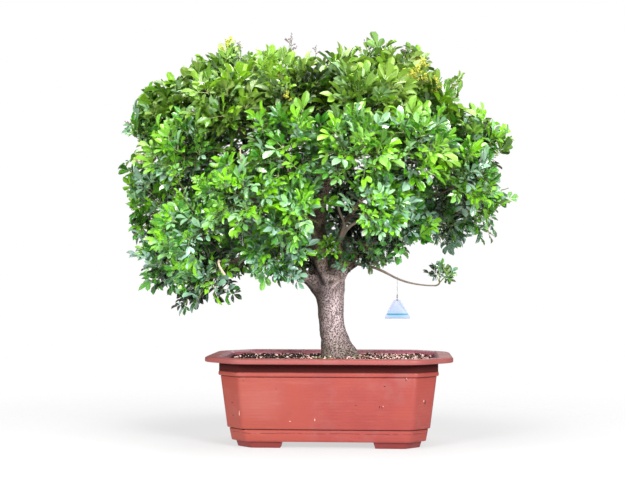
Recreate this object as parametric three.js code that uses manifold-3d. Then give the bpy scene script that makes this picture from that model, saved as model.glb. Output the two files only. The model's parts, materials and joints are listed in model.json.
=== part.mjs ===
// An aglaia bonsai in a moulded plastic pot, as a three.js scene graph.
// Millimetres, +Z up, the front faces -Y. Sizes are taken from the centre of the pot at table height,
// and the finished group is shifted so that the origin is under the middle of its bounding box.
import * as THREE from "three";
import { mergeVertices } from "three/addons/utils/BufferGeometryUtils.js";
import Module from "manifold-3d";

const wasm = await Module();
wasm.setup();

// Driving dimensions

const pot = {
  // Level by level up the outside, over the lip and down the inside: height, half length, half width and
  // corner cut.
  levels: [
    [16, 234, 150, 40], // underside
    [43, 239, 154, 41], // top of the base band
    [45, 237, 152, 40], // groove above the band
    [47, 244, 158, 42], // foot of the wall
    [172, 260, 172, 50], // head of the wall
    [174, 264, 176, 52], // moulded step
    [210.5, 265, 177, 53], // neck
    [211.5, 295, 205, 84], // hollow under the lip
    [202.5, 296, 206, 84],
    [204, 300, 210, 86],
    [212.5, 300, 210, 86],
    [215.5, 296, 206, 84],
    [215.5, 266, 178, 54], // lip, inner edge
    [210.5, 260, 172, 50],
    [178, 256, 168, 48],
    [60, 241, 155, 41],
    [48, 233, 148, 40],
    [22, 230, 145, 38], // floor
  ],
  footHeight: 16,
  footTop: [224, 143, 37],
  footBottom: [219, 138, 35],
  footRim: 34, // how far a foot reaches in from the outside
  footGap: [232, 124], // clear length and width between the feet at the floor
  footSlope: 8, // each foot is this much longer at its top
  drainRadius: 13,
  drainPlaces: [-120, 120],
};

const soil = {
  clearance: 0.4,
  edgeHeight: 201.5,
  moundHeight: 11, // rise from the wall to the trunk
  grain: 2.2,
  cells: [10, 7], // its top is a grid of this many lumps
  detail: 0.1, // and simplified to this
};

const trunk = {
  // Centre line from the buried foot to the fork, with the radius at each point.
  line: [
    [22, 2, 158.5, 40],
    [21, 2, 194.5, 44],
    [20, 2, 211.5, 47],
    [17, 1, 224.5, 42],
    [12, 0, 246, 36.5],
    [6, 0, 273, 33],
    [1, 0, 310, 32],
    [-1, 0, 350, 34],
    [-3, 0, 378, 39],
    [-3, 0, 404, 38],
    [0, 0, 424, 22],
  ],
  sides: 14,
  steps: 13,
  rootLobes: 5,
  rootTurn: 0.6, // the lobes are turned round by this
  rootRelief: 0.13, // share of the radius, at the soil
  rootReach: 26, // how fast the relief fades above the soil
  holeClearance: 0.5,
  detail: 0.2, // the joined wood is simplified to this
};

// Limbs, each a line of points with a radius at its first and last point, and the sprays that it carries in
// order from the trunk outwards. A spray is the middle of a tuft of leaves and how far the leaves reach.
const limbs = {
  left_low: {
    line: [[-8, -6, 350], [-58, -16, 406], [-130, -38, 436], [-210, -52, 448], [-275, -58, 446]],
    radius: [21, 6],
    sprays: [
      [-128, -116, 478, 98], [-238, 134, 484, 104], [-300, -92, 404, 98], [-322, -190, 512, 106],
      [-406, -20, 452, 104],
    ],
  },
  left_mid: {
    line: [[-20, -8, 425], [-80, 6, 520], [-170, 16, 590], [-255, 18, 636], [-315, 18, 660]],
    radius: [14, 6],
    sprays: [
      [-338, 168, 590, 108], [-330, -190, 690, 112], [-444, 16, 592, 116], [-330, 178, 745, 112],
      [-446, 6, 746, 124],
    ],
  },
  left_top: {
    line: [[-25, -12, 520], [-62, 0, 612], [-130, 2, 700], [-200, 2, 762], [-245, 2, 790]],
    radius: [12, 5],
    sprays: [
      [-205, 265, 665, 110], [-240, -178, 800, 110], [-180, 172, 825, 110], [-268, -14, 884, 113],
      [-378, 6, 846, 104],
    ],
  },
  leader: {
    line: [[0, -4, 360], [-22, -12, 430], [-26, -14, 520], [-20, -8, 620], [-18, 0, 720], [-26, 4, 785]],
    radius: [22, 6],
    sprays: [
      [-8, -78, 474, 56], [-72, -168, 826, 108], [-20, 186, 826, 108], [30, -22, 868, 107],
      [-120, 14, 888, 113],
    ],
  },
  right_top: {
    line: [[-20, -8, 600], [18, 0, 682], [80, 4, 742], [150, 4, 782]],
    radius: [10, 5],
    sprays: [[92, -182, 806, 108], [138, 184, 796, 108], [252, 14, 812, 104], [160, 4, 886, 112]],
  },
  right_mid: {
    line: [[12, 2, 385], [50, 12, 440], [110, 10, 500], [190, 4, 570], [255, 2, 622]],
    radius: [19, 6],
    sprays: [
      [180, -84, 524, 104], [285, 132, 552, 98], [275, 162, 700, 108], [330, -158, 640, 106],
      [368, 6, 580, 114], [378, -4, 724, 120],
    ],
  },
  front_left: {
    line: [[-24, -14, 470], [-44, -66, 525], [-82, -130, 590], [-108, -172, 625]],
    radius: [10, 5],
    sprays: [[-62, -232, 560, 100], [-196, -268, 592, 112], [-92, -272, 704, 112]],
  },
  front_right: {
    line: [[34, 6, 420], [24, -26, 492], [34, -46, 535], [57, -78, 565], [84, -118, 600], [104, -158, 636]],
    radius: [9, 5],
    sprays: [[118, -238, 566, 96], [74, -284, 694, 112], [214, -234, 700, 112]],
  },
  back_left: {
    line: [[-20, 0, 440], [-40, 58, 512], [-66, 120, 570], [-76, 160, 606]],
    radius: [12, 5],
    sprays: [[-90, 232, 530, 104], [-36, 290, 668, 110]],
  },
  back_right: {
    line: [[8, 4, 405], [30, 66, 480], [56, 130, 545], [78, 168, 588]],
    radius: [13, 5],
    sprays: [[76, 196, 500, 98], [140, 272, 640, 108]],
  },
  // The long bare twig on the right that carries the tag.
  tag_twig: {
    line: [
      [34, 0, 436], [60, -6, 440], [105, -12, 432], [130, -16, 422], [170, -20, 402], [202, -22, 392],
      [237, -22, 387], [262, -22, 386],
    ],
    radius: [6, 2],
    sprays: [[279, -22, 404, 52]],
  },
};
// A cut-off twig that hangs under the lowest limb on the left.
const cutTwig = { line: [[-258, -57, 448], [-268, -66, 430], [-270, -68, 411]], radius: [4, 3.4] };

const crownHeart = [-30, 0, 545]; // sprays face away from here, and a little upwards
const lift = 0.35;

const branch = {
  sides: 4,
  stepLength: 55,
  firstAt: 0.42, // where the first branch leaves its limb; the others follow at even steps to its end
  startShare: 0.6, // a branch's first radius, as a share of its limb's
  tipRadius: 3,
  bow: 0.3,
  seatGap: 0.3,
};

const spray = {
  coreShare: 0.34, // core radius as a share of the leaves' reach
  coreRagged: [0.74, 1.16],
  seatDepth: 0.62, // the flat underside of a core, in core radii below its middle
  rootDepth: 0.5, // where a leaf starts, in core radii from the middle
  leavesAround: 4,
  centreTilts: [8, 18, 28], // degrees from the spray's axis
  tilts: [72, 62, 52, 42],
  sizes: [1, 0.88, 0.76, 0.64],
  cellMargin: 1.2,
  bladeClearance: 0.8,
  brightAbove: 760, // height over which the leaves are yellowish, as they stand in the sun
  shadedBelow: 570,
};
// Two small tufts with a smaller core and fewer leaves: a shoot on the trunk and the end of the long twig.
const tufts = {
  coreShare: 0.26,
  leavesAround: 3,
  axes: { spray_leader_1: [0, -1, 0.9], spray_tag_twig_1: [0.25, 0, 0.9] },
};

// A pinnate leaf, in shares of its own length: where each leaflet starts along the rib, how long and wide it is
// and how far it turns from the rib in degrees.
const leaf = {
  ribHalfWidth: 0.014,
  baseHalfWidth: 0.018,
  shoulder: 0.68, // the widest place, as a share of a leaflet's length
  crest: 0.55, // the thickest place
  arch: 0.16,
  fold: 0.22,
  cup: 1.1,
  bladeThickness: 1.4,
  ribThickness: 2.2,
};
const fiveLeaflets = {
  pairs: [
    { at: 0.34, length: 0.3, width: 0.2, turn: 60 },
    { at: 0.57, length: 0.34, width: 0.2, turn: 52 },
  ],
  end: { at: 0.62, width: 0.22 },
};
const threeLeaflets = {
  pairs: [{ at: 0.5, length: 0.38, width: 0.25, turn: 56 }],
  end: { at: 0.55, width: 0.27 },
};

const panicles = {
  stalkRadius: [1.5, 0.7],
  rootDepth: 0.55, // where the stalk starts, in core radii from the spray's middle
  firstBud: 0.8, // how far along the stalk the lowest bud stands, in core radii
  budRadii: [6, 2.6], // half length and half width of the lowest bud
  budShrink: 0.5, // of the last bud, as a share of the first
  buds: 7,
  turn: 2.4, // from one bud to the next round the stalk
  socketClearance: 0.4,
  // The spray that each stands in, and where its tip is.
  places: {
    panicle_top_left: ["spray_left_top_4", [-250, -30, 1010]],
    panicle_top_right: ["spray_right_top_4", [222, -36, 958]],
    panicle_right: ["spray_right_top_3", [258, -60, 900]],
    panicle_left: ["spray_left_mid_5", [-478, -84, 692]],
    panicle_crown: ["spray_leader_5", [-96, -14, 1018]],
  },
};

const tag = {
  hangsAt: 0.59, // share of the way along its twig
  holeDrop: 56, // from the twig down to the hole
  holeRadius: 2.2,
  holeFromTop: 6,
  height: 48,
  topWidth: 15,
  bottomWidth: 66,
  corner: 5,
  thickness: 1,
};
const wire = { radius: 0.6, sides: 5, clearance: 0.3, endDrop: 9, hookRadius: 2.6, bendSteps: 7 };

// Colours

const finish = (color, roughness, metalness = 0) =>
  new THREE.MeshStandardMaterial({ color, roughness, metalness, flatShading: true });
const finishes = {
  plastic: finish("#b4493f", 0.55),
  soil: finish("#6b5a49", 0.95),
  bark: finish("#8c7566", 0.85),
  leafTop: finish("#7ea63c", 0.4),
  leafSide: finish("#4f9a2c", 0.38),
  leafLow: finish("#2f6b35", 0.38),
  flower: finish("#d8c93c", 0.6),
  tag: finish("#eef3f8", 0.35),
  wire: finish("#8d9094", 0.35, 0.9),
};

// Solids

const vector = (p) => new THREE.Vector3(p[0], p[1], p[2]);
const through = (points) => new THREE.CatmullRomCurve3(points.map(vector));

// A repeatable stream of numbers from 0 to 1.
function randomStream(seed) {
  let state = seed;
  return () => {
    state = (state + 0x6d2b79f5) | 0;
    let t = Math.imul(state ^ (state >>> 15), 1 | state);
    t = (t + Math.imul(t ^ (t >>> 7), 61 | t)) ^ t;
    return ((t ^ (t >>> 14)) >>> 0) / 4294967296;
  };
}

function geometryFrom(points, faces) {
  const geometry = new THREE.BufferGeometry();
  const places = points.flatMap((p) => [p.x, p.y, p.z]);
  geometry.setAttribute("position", new THREE.Float32BufferAttribute(places, 3));
  geometry.setIndex(faces.flat());
  return geometry;
}

function solidOf(geometry) {
  const bare = geometry.clone();
  bare.deleteAttribute("normal");
  bare.deleteAttribute("uv");
  const merged = mergeVertices(bare, 1e-4);
  return new wasm.Manifold(
    new wasm.Mesh({
      numProp: 3,
      vertProperties: merged.attributes.position.array,
      triVerts: new Uint32Array(merged.index.array),
    }),
  );
}

function geometryOf(solid) {
  const mesh = solid.getMesh();
  const geometry = new THREE.BufferGeometry();
  const places = new Float32Array(mesh.numVert * 3);
  for (let i = 0; i < mesh.numVert; i++)
    places.set(mesh.vertProperties.subarray(i * mesh.numProp, i * mesh.numProp + 3), i * 3);
  geometry.setAttribute("position", new THREE.BufferAttribute(places, 3));
  geometry.setIndex(new THREE.BufferAttribute(mesh.triVerts, 1));
  return geometry;
}

const union = (solids) => wasm.Manifold.union(solids);

// A closed body through rings of equally many points, each ring anticlockwise seen from the next one.
function loft(rings) {
  const n = rings[0].length;
  const faces = [];
  for (let i = 2; i < n; i++) faces.push([0, i, i - 1]);
  for (let r = 0; r + 1 < rings.length; r++)
    for (let i = 0; i < n; i++) {
      const a = r * n + i;
      const b = r * n + ((i + 1) % n);
      faces.push([a, b, b + n], [a, b + n, a + n]);
    }
  const last = (rings.length - 1) * n;
  for (let i = 2; i < n; i++) faces.push([last, last + i - 1, last + i]);
  return geometryFrom(rings.flat(), faces);
}

// A rectangle with cut corners, lying flat, anticlockwise from above.
function cutRectangle(z, halfLength, halfWidth, cut) {
  const corner = (x, y) => new THREE.Vector3(x, y, z);
  return [
    corner(halfLength, -halfWidth + cut),
    corner(halfLength, halfWidth - cut),
    corner(halfLength - cut, halfWidth),
    corner(-halfLength + cut, halfWidth),
    corner(-halfLength, halfWidth - cut),
    corner(-halfLength, -halfWidth + cut),
    corner(-halfLength + cut, -halfWidth),
    corner(halfLength - cut, -halfWidth),
  ];
}

// A tube through stations, each with its middle, its tangent and its radius, which may depend on the angle.
function tube(stations, sides) {
  let normal = Math.abs(stations[0].tangent.z) < 0.9 ? new THREE.Vector3(0, 0, 1) : new THREE.Vector3(1, 0, 0);
  const rings = stations.map(({ middle, tangent, radius }) => {
    normal = normal.clone().addScaledVector(tangent, -normal.dot(tangent)).normalize();
    const binormal = tangent.clone().cross(normal);
    return Array.from({ length: sides }, (_, i) => {
      const angle = (2 * Math.PI * i) / sides;
      const out = normal.clone().multiplyScalar(Math.cos(angle)).addScaledVector(binormal, Math.sin(angle));
      return middle.clone().addScaledVector(out, typeof radius === "function" ? radius(angle) : radius);
    });
  });
  return solidOf(loft(rings));
}

// The same at even steps along a curve, with the radius given for the way along from 0 to 1.
function curvedTube(curve, radiusAt, sides, steps) {
  const stations = Array.from({ length: steps + 1 }, (_, i) => ({
    middle: curve.getPointAt(i / steps),
    tangent: curve.getTangentAt(i / steps),
    radius: radiusAt(i / steps),
  }));
  return tube(stations, sides);
}

// Pot and soil

function makePot() {
  const shell = solidOf(loft(pot.levels.map((level) => cutRectangle(...level))));
  const slope = pot.footSlope;
  const footRings = [cutRectangle(0, ...pot.footBottom), cutRectangle(pot.footHeight + 1, ...pot.footTop)];
  const block = solidOf(loft(footRings));
  const [hollowLength, hollowWidth] = pot.footBottom.map((half) => 2 * (half - pot.footRim));
  const hollow = solidOf(new THREE.BoxGeometry(hollowLength, hollowWidth, 4 * pot.footHeight));
  // A gap between two feet, narrower at the top, cut through the block along X or Y.
  const gap = (halfWidth, length, alongX) => {
    const section = new THREE.Shape([
      new THREE.Vector2(-halfWidth - slope * 0.25, -slope),
      new THREE.Vector2(halfWidth + slope * 0.25, -slope),
      new THREE.Vector2(halfWidth - slope, pot.footHeight + 2),
      new THREE.Vector2(-halfWidth + slope, pot.footHeight + 2),
    ]);
    const prism = new THREE.ExtrudeGeometry(section, { depth: length, bevelEnabled: false });
    prism.translate(0, 0, -length / 2).rotateX(Math.PI / 2);
    if (alongX) prism.rotateZ(Math.PI / 2);
    return solidOf(prism);
  };
  const feet = block
    .subtract(hollow)
    .subtract(gap(pot.footGap[0] / 2, 3 * pot.footTop[1], false))
    .subtract(gap(pot.footGap[1] / 2, 3 * pot.footTop[0], true));
  const drains = pot.drainPlaces.map((x) => {
    const drain = new THREE.CylinderGeometry(pot.drainRadius, pot.drainRadius, 60, 12);
    return solidOf(drain.rotateX(Math.PI / 2).translate(x, 0, pot.footHeight));
  });
  return union([shell, feet]).subtract(union(drains));
}

// Height of the soil: a mound towards the trunk, with gritty lumps on it.
function soilHeight(x, y, lump) {
  const [halfLength, halfWidth] = pot.levels.at(-4).slice(1);
  const fromTrunk = Math.min(1, Math.hypot((x - trunk.line[2][0]) / halfLength, y / halfWidth));
  return soil.edgeHeight + soil.moundHeight * (1 - fromTrunk) ** 1.5 + soil.grain * (lump - 0.5) * 2;
}

function makeSoil(trunkFoot) {
  const random = randomStream(11);
  const [nx, ny] = soil.cells;
  const inside = pot.levels.slice(-5);
  const floor = inside.at(-1)[0] + soil.clearance;
  const [halfLength, halfWidth] = [inside[0][1] + 4, inside[0][2] + 4];
  const points = [];
  for (let j = 0; j <= ny; j++)
    for (let i = 0; i <= nx; i++) {
      const x = halfLength * ((2 * i) / nx - 1);
      const y = halfWidth * ((2 * j) / ny - 1);
      points.push(new THREE.Vector3(x, y, soilHeight(x, y, random())));
    }
  for (const y of [-halfWidth, halfWidth])
    for (const x of [-halfLength, halfLength]) points.push(new THREE.Vector3(x, y, floor - 5));
  const at = (i, j) => j * (nx + 1) + i;
  const base = (nx + 1) * (ny + 1);
  const faces = [[base, base + 2, base + 3], [base, base + 3, base + 1]];
  for (let j = 0; j < ny; j++)
    for (let i = 0; i < nx; i++)
      faces.push([at(i, j), at(i + 1, j), at(i + 1, j + 1)], [at(i, j), at(i + 1, j + 1), at(i, j + 1)]);
  // A side wall is a fan from one lower corner, closed by the triangle to the other one.
  const wall = (edge, first, second) => {
    for (let k = 0; k + 1 < edge.length; k++) faces.push([edge[k + 1], edge[k], first]);
    faces.push([edge.at(-1), first, second]);
  };
  const row = (count, place) => Array.from({ length: count + 1 }, (_, k) => place(k));
  wall(row(nx, (k) => at(k, 0)), base, base + 1);
  wall(row(ny, (k) => at(nx, k)), base + 1, base + 3);
  wall(row(nx, (k) => at(nx - k, ny)), base + 3, base + 2);
  wall(row(ny, (k) => at(0, ny - k)), base + 2, base);
  const ground = solidOf(geometryFrom(points, faces));
  const gap = soil.clearance;
  const inset = ([z, length, width, cut]) => cutRectangle(z, length - gap, width - gap, cut);
  const rings = inside.map(inset).reverse();
  rings[0].forEach((p) => p.setZ(floor));
  rings.push(rings.at(-1).map((p) => p.clone().setZ(p.z + 2 * soil.moundHeight)));
  return ground.intersect(solidOf(loft(rings))).asOriginal().simplify(soil.detail).subtract(trunkFoot);
}

// Wood

// The trunk, or the slightly larger hole that it stands in.
function makeTrunk(grow = 0) {
  const line = trunk.line.map(vector);
  line[0].z -= grow;
  const curve = new THREE.CatmullRomCurve3(line);
  const heights = trunk.line.map((p) => p[2]);
  const soilLevel = heights[2];
  const radiusAtHeight = (z) => {
    const k = Math.max(0, Math.min(heights.length - 2, heights.findIndex((h) => h > z) - 1));
    const share = THREE.MathUtils.clamp((z - heights[k]) / (heights[k + 1] - heights[k]), 0, 1);
    return THREE.MathUtils.lerp(trunk.line[k][3], trunk.line[k + 1][3], share);
  };
  return curvedTube(
    curve,
    (along) => {
      const z = curve.getPointAt(along).z;
      const relief = trunk.rootRelief * Math.exp(-(((z - soilLevel) / trunk.rootReach) ** 2));
      const plain = radiusAtHeight(Math.min(z, heights.at(-1) - 0.01));
      return (angle) => plain * (1 + relief * Math.cos(trunk.rootLobes * angle + trunk.rootTurn)) + grow;
    },
    trunk.sides,
    trunk.steps,
  );
}

function awayFromHeart(place) {
  const out = vector(place).sub(vector(crownHeart)).normalize();
  return out.add(new THREE.Vector3(0, 0, lift)).normalize();
}

// All sprays, with what the leaves and the branch need to know.
const sprays = Object.entries(limbs).flatMap(([limbName, limb]) =>
  limb.sprays.map(([x, y, z, reach], i) => {
    const name = `spray_${limbName}_${i + 1}`;
    const isTuft = name in tufts.axes;
    const axis = isTuft ? vector(tufts.axes[name]).normalize() : awayFromHeart([x, y, z]);
    const middle = vector([x, y, z]);
    const core = reach * (isTuft ? tufts : spray).coreShare;
    return {
      name,
      limb,
      isTuft,
      order: i,
      middle,
      reach,
      core,
      axis,
      seat: middle.clone().addScaledVector(axis, -spray.seatDepth * core - branch.seatGap),
    };
  }),
);

// A branch from its limb to the underside of a spray.
function makeBranch({ limb, order, seat, axis }) {
  const curve = through(limb.line);
  const last = limb.sprays.length - 1;
  const along = last === 0 ? 1 : THREE.MathUtils.lerp(branch.firstAt, 1, order / last);
  const start = curve.getPointAt(along);
  const heading = curve.getTangentAt(along);
  const span = start.distanceTo(seat);
  const tipRadius = Math.min(branch.tipRadius, limb.radius[1]);
  const startRadius = Math.max(tipRadius, limbRadius(limb.radius, along) * branch.startShare);
  const line = new THREE.CubicBezierCurve3(
    start,
    start.clone().addScaledVector(heading, span * branch.bow),
    seat.clone().addScaledVector(axis, -span * branch.bow),
    seat,
  );
  const steps = THREE.MathUtils.clamp(Math.round(span / branch.stepLength), 2, 3);
  return curvedTube(line, (t) => THREE.MathUtils.lerp(startRadius, tipRadius, t), branch.sides, steps);
}

const limbRadius = (radius, along) => THREE.MathUtils.lerp(radius[0], radius[1], along ** 0.8);

function makeLimb({ line, radius }) {
  const sides = radius[0] > 12 ? 7 : 6;
  return curvedTube(through(line), (along) => limbRadius(radius, along), sides, line.length + 1);
}

// Leaves

// One pinnate leaf along +X, its upper face to +Z: two faces that meet in a thin rim, with the middle of each
// leaflet and of the rib standing out from both.
function leafGeometry(length, { pairs, end }) {
  const points = [];
  const faces = [];
  // Bends the flat leaf: the rib arches down towards the tip, and the sides lift into a shallow fold.
  const bend = (u, v, thick) => {
    const down = leaf.arch * u * u;
    const slope = Math.atan(2 * leaf.arch * u);
    const lifted = leaf.fold * Math.abs(v) - leaf.cup * v * v;
    const normal = new THREE.Vector3(Math.sin(slope), 0, Math.cos(slope));
    const place = new THREE.Vector3(u, v, lifted - down).multiplyScalar(length);
    return place.addScaledVector(normal, thick / 2);
  };
  const rim = (u, v) => points.push(bend(u, v, 0)) - 1;
  // A point on the upper face, followed by its partner on the lower one.
  const partners = new Set();
  const inner = (u, v, thick) => {
    const upper = points.push(bend(u, v, thick), bend(u, v, -thick)) - 2;
    partners.add(upper);
    return upper;
  };
  // A triangle on both faces. The corners go anticlockwise seen from above.
  const face = (...corners) => {
    faces.push(corners);
    faces.push(corners.map((k) => (partners.has(k) ? k + 1 : k)).reverse());
  };
  const fan = (middle, corners) =>
    corners.forEach((corner, i) => face(middle, corner, corners[(i + 1) % corners.length]));

  const half = leaf.ribHalfWidth;
  const rootLeft = rim(0, half);
  const rootRight = rim(0, -half);
  const ribs = pairs.map(({ at }) => inner(at, 0, leaf.ribThickness));
  const edges = { 1: [], "-1": [] };
  for (const side of [1, -1])
    pairs.forEach(({ at, length: long, width, turn }, i) => {
      const angle = THREE.MathUtils.degToRad(turn);
      const along = new THREE.Vector2(Math.cos(angle), side * Math.sin(angle));
      const across = new THREE.Vector2(-along.y, along.x).multiplyScalar(side);
      const place = (share, sideways) => [
        at + along.x * long * share + across.x * sideways,
        along.y * long * share + across.y * sideways,
      ];
      const near = rim(at - leaf.baseHalfWidth, side * half);
      const nearShoulder = rim(...place(leaf.shoulder, width / 2));
      const tip = rim(...place(1, 0));
      const farShoulder = rim(...place(leaf.shoulder, -width / 2));
      const far = rim(at + leaf.baseHalfWidth, side * half);
      const middle = inner(...place(leaf.crest, 0), leaf.bladeThickness);
      const loop = [ribs[i], far, farShoulder, tip, nearShoulder, near];
      fan(middle, side === 1 ? loop : loop.reverse());
      edges[side].push([near, far]);
    });
  const [left, right] = [edges[1], edges[-1]];
  face(rootRight, ribs[0], rootLeft);
  face(rootRight, right[0][0], ribs[0]);
  face(rootLeft, ribs[0], left[0][0]);
  for (let i = 0; i + 1 < ribs.length; i++) {
    face(ribs[i], ribs[i + 1], left[i][1]);
    face(ribs[i + 1], left[i + 1][0], left[i][1]);
    face(ribs[i + 1], ribs[i], right[i][1]);
    face(ribs[i + 1], right[i][1], right[i + 1][0]);
  }
  const endLength = 1 - end.at;
  const widest = end.at + endLength * leaf.shoulder;
  const leftShoulder = rim(widest, end.width / 2);
  const tip = rim(1, 0);
  const rightShoulder = rim(widest, -end.width / 2);
  const middle = inner(end.at + endLength * leaf.crest, 0, leaf.bladeThickness);
  fan(middle, [ribs.at(-1), right.at(-1)[1], rightShoulder, tip, leftShoulder, left.at(-1)[1]]);
  return geometryFrom(points, faces);
}

// Whether all points lie in the space nearer to this spray than to any other, by power distance.
function inOwnCell(points, own) {
  return sprays.every((other) => {
    if (other === own) return true;
    const between = other.middle.clone().sub(own.middle);
    const distance = between.length();
    const border = (distance ** 2 + own.reach ** 2 - other.reach ** 2) / (2 * distance);
    between.divideScalar(distance);
    return points.every((p) => p.clone().sub(own.middle).dot(between) < border - spray.cellMargin);
  });
}

const pointsOf = (geometry) => {
  const places = geometry.attributes.position;
  return Array.from({ length: places.count }, (_, i) => new THREE.Vector3().fromBufferAttribute(places, i));
};

// Directions across an axis, for placing leaves round it.
function acrossAxis(axis) {
  const side = new THREE.Vector3(0, 0, 1).cross(axis);
  if (side.length() < 0.1) side.set(1, 0, 0);
  side.normalize();
  return [side, axis.clone().cross(side)];
}

function leafMatrix(own, tilt, turn, rootAt) {
  const [side, up] = acrossAxis(own.axis);
  const outward = side.multiplyScalar(Math.cos(turn)).addScaledVector(up, Math.sin(turn));
  const heading = own.axis.clone().multiplyScalar(Math.cos(tilt)).addScaledVector(outward, Math.sin(tilt));
  const face = own.axis.clone().addScaledVector(heading, -own.axis.dot(heading)).normalize();
  const across = face.clone().cross(heading);
  const root = own.middle.clone().addScaledVector(heading, rootAt);
  return new THREE.Matrix4().makeBasis(heading, across, face).setPosition(root);
}

// A ragged lump in the middle of a spray, flat underneath where its branch meets it.
function coreGeometry(own, random) {
  const ball = new THREE.OctahedronGeometry(1, 1).deleteAttribute("normal").deleteAttribute("uv");
  const lump = mergeVertices(ball, 1e-4);
  const [side, up] = acrossAxis(own.axis);
  const low = -spray.seatDepth * own.core;
  const places = lump.attributes.position;
  const [least, most] = spray.coreRagged;
  for (let i = 0; i < places.count; i++) {
    const p = new THREE.Vector3().fromBufferAttribute(places, i);
    p.multiplyScalar(own.core * THREE.MathUtils.lerp(least, most, random()));
    const place = own.middle.clone().addScaledVector(side, p.x).addScaledVector(up, p.y);
    place.addScaledVector(own.axis, Math.max(low, p.z));
    places.setXYZ(i, place.x, place.y, place.z);
  }
  return lump;
}

// A stalk from inside a spray's core, with drop-shaped buds round it that each taper into the stalk.
function makePanicle(own, tipPoint) {
  const tip = vector(tipPoint);
  const heading = tip.clone().sub(own.middle).normalize();
  const start = own.middle.clone().addScaledVector(heading, panicles.rootDepth * own.core);
  const line = new THREE.LineCurve3(start, tip);
  const [from, to] = panicles.stalkRadius;
  const stalk = (grow) => curvedTube(line, (t) => THREE.MathUtils.lerp(from, to, t) + grow, 4, 1);
  const [side, up] = acrossAxis(heading);
  const firstBud = (panicles.firstBud * own.core) / start.distanceTo(tip);
  const [long, wide] = panicles.budRadii;
  const buds = Array.from({ length: panicles.buds }, (_, i) => {
    const share = i / panicles.buds;
    const turn = i * panicles.turn;
    const outward = side.clone().multiplyScalar(Math.cos(turn)).addScaledVector(up, Math.sin(turn));
    outward.addScaledVector(heading, 1).normalize();
    const size = 1 - panicles.budShrink * share;
    const bud = new THREE.OctahedronGeometry(1, 0).scale(wide * size, wide * size, long * size);
    bud.applyQuaternion(new THREE.Quaternion().setFromUnitVectors(new THREE.Vector3(0, 0, 1), outward));
    const place = start.clone().lerp(tip, THREE.MathUtils.lerp(firstBud, 1, share));
    place.addScaledVector(outward, long * size);
    return solidOf(bud.translate(place.x, place.y, place.z));
  });
  return { solid: union([stalk(0), ...buds]), socket: stalk(panicles.socketClearance) };
}

// A spray: the core with leaves rooted in it, each turned and sized to stay in the spray's own space and clear
// of the wood, the other leaves and what stands among them.
function makeSpray(own, seed, keepClear) {
  const random = randomStream(seed);
  const core = solidOf(coreGeometry(own, random));
  const rootAt = spray.rootDepth * own.core;
  const fullLength = own.reach - rootAt;
  const phase = random() * 2 * Math.PI;
  const blades = [];
  const fits = (geometry) => {
    if (!inOwnCell(pointsOf(geometry), own)) return false;
    const blade = solidOf(geometry);
    if ([...blades, ...keepClear].some((other) => blade.minGap(other, 2) < spray.bladeClearance)) return false;
    return blades.push(blade);
  };
  const place = (kind, tilts, turn) =>
    spray.sizes.some((size) =>
      tilts.some((tilt) => {
        const matrix = leafMatrix(own, THREE.MathUtils.degToRad(tilt), turn, rootAt);
        return fits(leafGeometry(fullLength * size, kind).applyMatrix4(matrix));
      }),
    );
  place(own.order % 2 ? threeLeaflets : fiveLeaflets, spray.centreTilts, phase);
  const around = (own.isTuft ? tufts : spray).leavesAround;
  for (let i = 0; i < around; i++)
    place(threeLeaflets, spray.tilts, phase + (2 * Math.PI * (i + 0.25 * random())) / around);
  return { core, blades };
}

// Tag and its wire

// The middle and radius of the twig where the tag hangs, on its straight facets.
function hangingPlace() {
  const { line, radius } = limbs.tag_twig;
  const curve = through(line);
  const steps = line.length + 1;
  const before = Math.floor(tag.hangsAt * steps);
  const share = tag.hangsAt * steps - before;
  return {
    middle: curve.getPointAt(before / steps).lerp(curve.getPointAt((before + 1) / steps), share),
    radius: limbRadius(radius, before / steps),
  };
}

function makeTag({ middle }) {
  const shape = new THREE.Shape();
  const [top, bottom, corner] = [tag.topWidth / 2, tag.bottomWidth / 2, tag.corner];
  shape.moveTo(-top + 2, 0);
  shape.lineTo(top - 2, 0);
  shape.quadraticCurveTo(top, 0, top + 2, -4);
  shape.lineTo(bottom - 2, -tag.height + corner + 3);
  shape.quadraticCurveTo(bottom, -tag.height, bottom - corner, -tag.height);
  shape.lineTo(-bottom + corner, -tag.height);
  shape.quadraticCurveTo(-bottom, -tag.height, -bottom + 2, -tag.height + corner + 3);
  shape.lineTo(-top - 2, -4);
  shape.quadraticCurveTo(-top, 0, -top + 2, 0);
  const hole = new THREE.Path();
  hole.absarc(0, -tag.holeFromTop, tag.holeRadius, 0, 2 * Math.PI, false);
  shape.holes.push(hole);
  const options = { depth: tag.thickness, bevelEnabled: false, curveSegments: 4 };
  const plate = new THREE.ExtrudeGeometry(shape, options);
  // The upper edge of the hole hangs on the wire.
  const holeHeight = middle.z - tag.holeDrop + wire.radius + wire.clearance - tag.holeRadius;
  plate.rotateX(Math.PI / 2).translate(middle.x, middle.y + tag.thickness / 2, holeHeight + tag.holeFromTop);
  return solidOf(plate);
}

// Over the twig, down in front of it and through the hole of the tag.
function makeWire({ middle, radius }) {
  const over = radius + wire.clearance + wire.radius;
  const under = wire.hookRadius;
  const arc = (size, height, from) =>
    Array.from({ length: wire.bendSteps + 1 }, (_, i) => {
      const angle = from + (Math.PI * i) / wire.bendSteps;
      return [size * Math.cos(angle), height + size * Math.sin(angle)];
    });
  const places = [
    [over, -wire.endDrop],
    ...arc(over, 0, 0),
    [-under, 3 * under - tag.holeDrop],
    ...arc(under, under - tag.holeDrop, Math.PI),
    [under, wire.endDrop - tag.holeDrop],
  ].map(([y, up]) => new THREE.Vector3(middle.x, middle.y + y, middle.z + up));
  const stations = places.map((place, i) => ({
    middle: place,
    tangent: (places[i + 1] ?? place).clone().sub(places[i - 1] ?? place).normalize(),
    radius: wire.radius,
  }));
  return tube(stations, wire.sides);
}

// Assembly

const tree = new THREE.Group();

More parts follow.
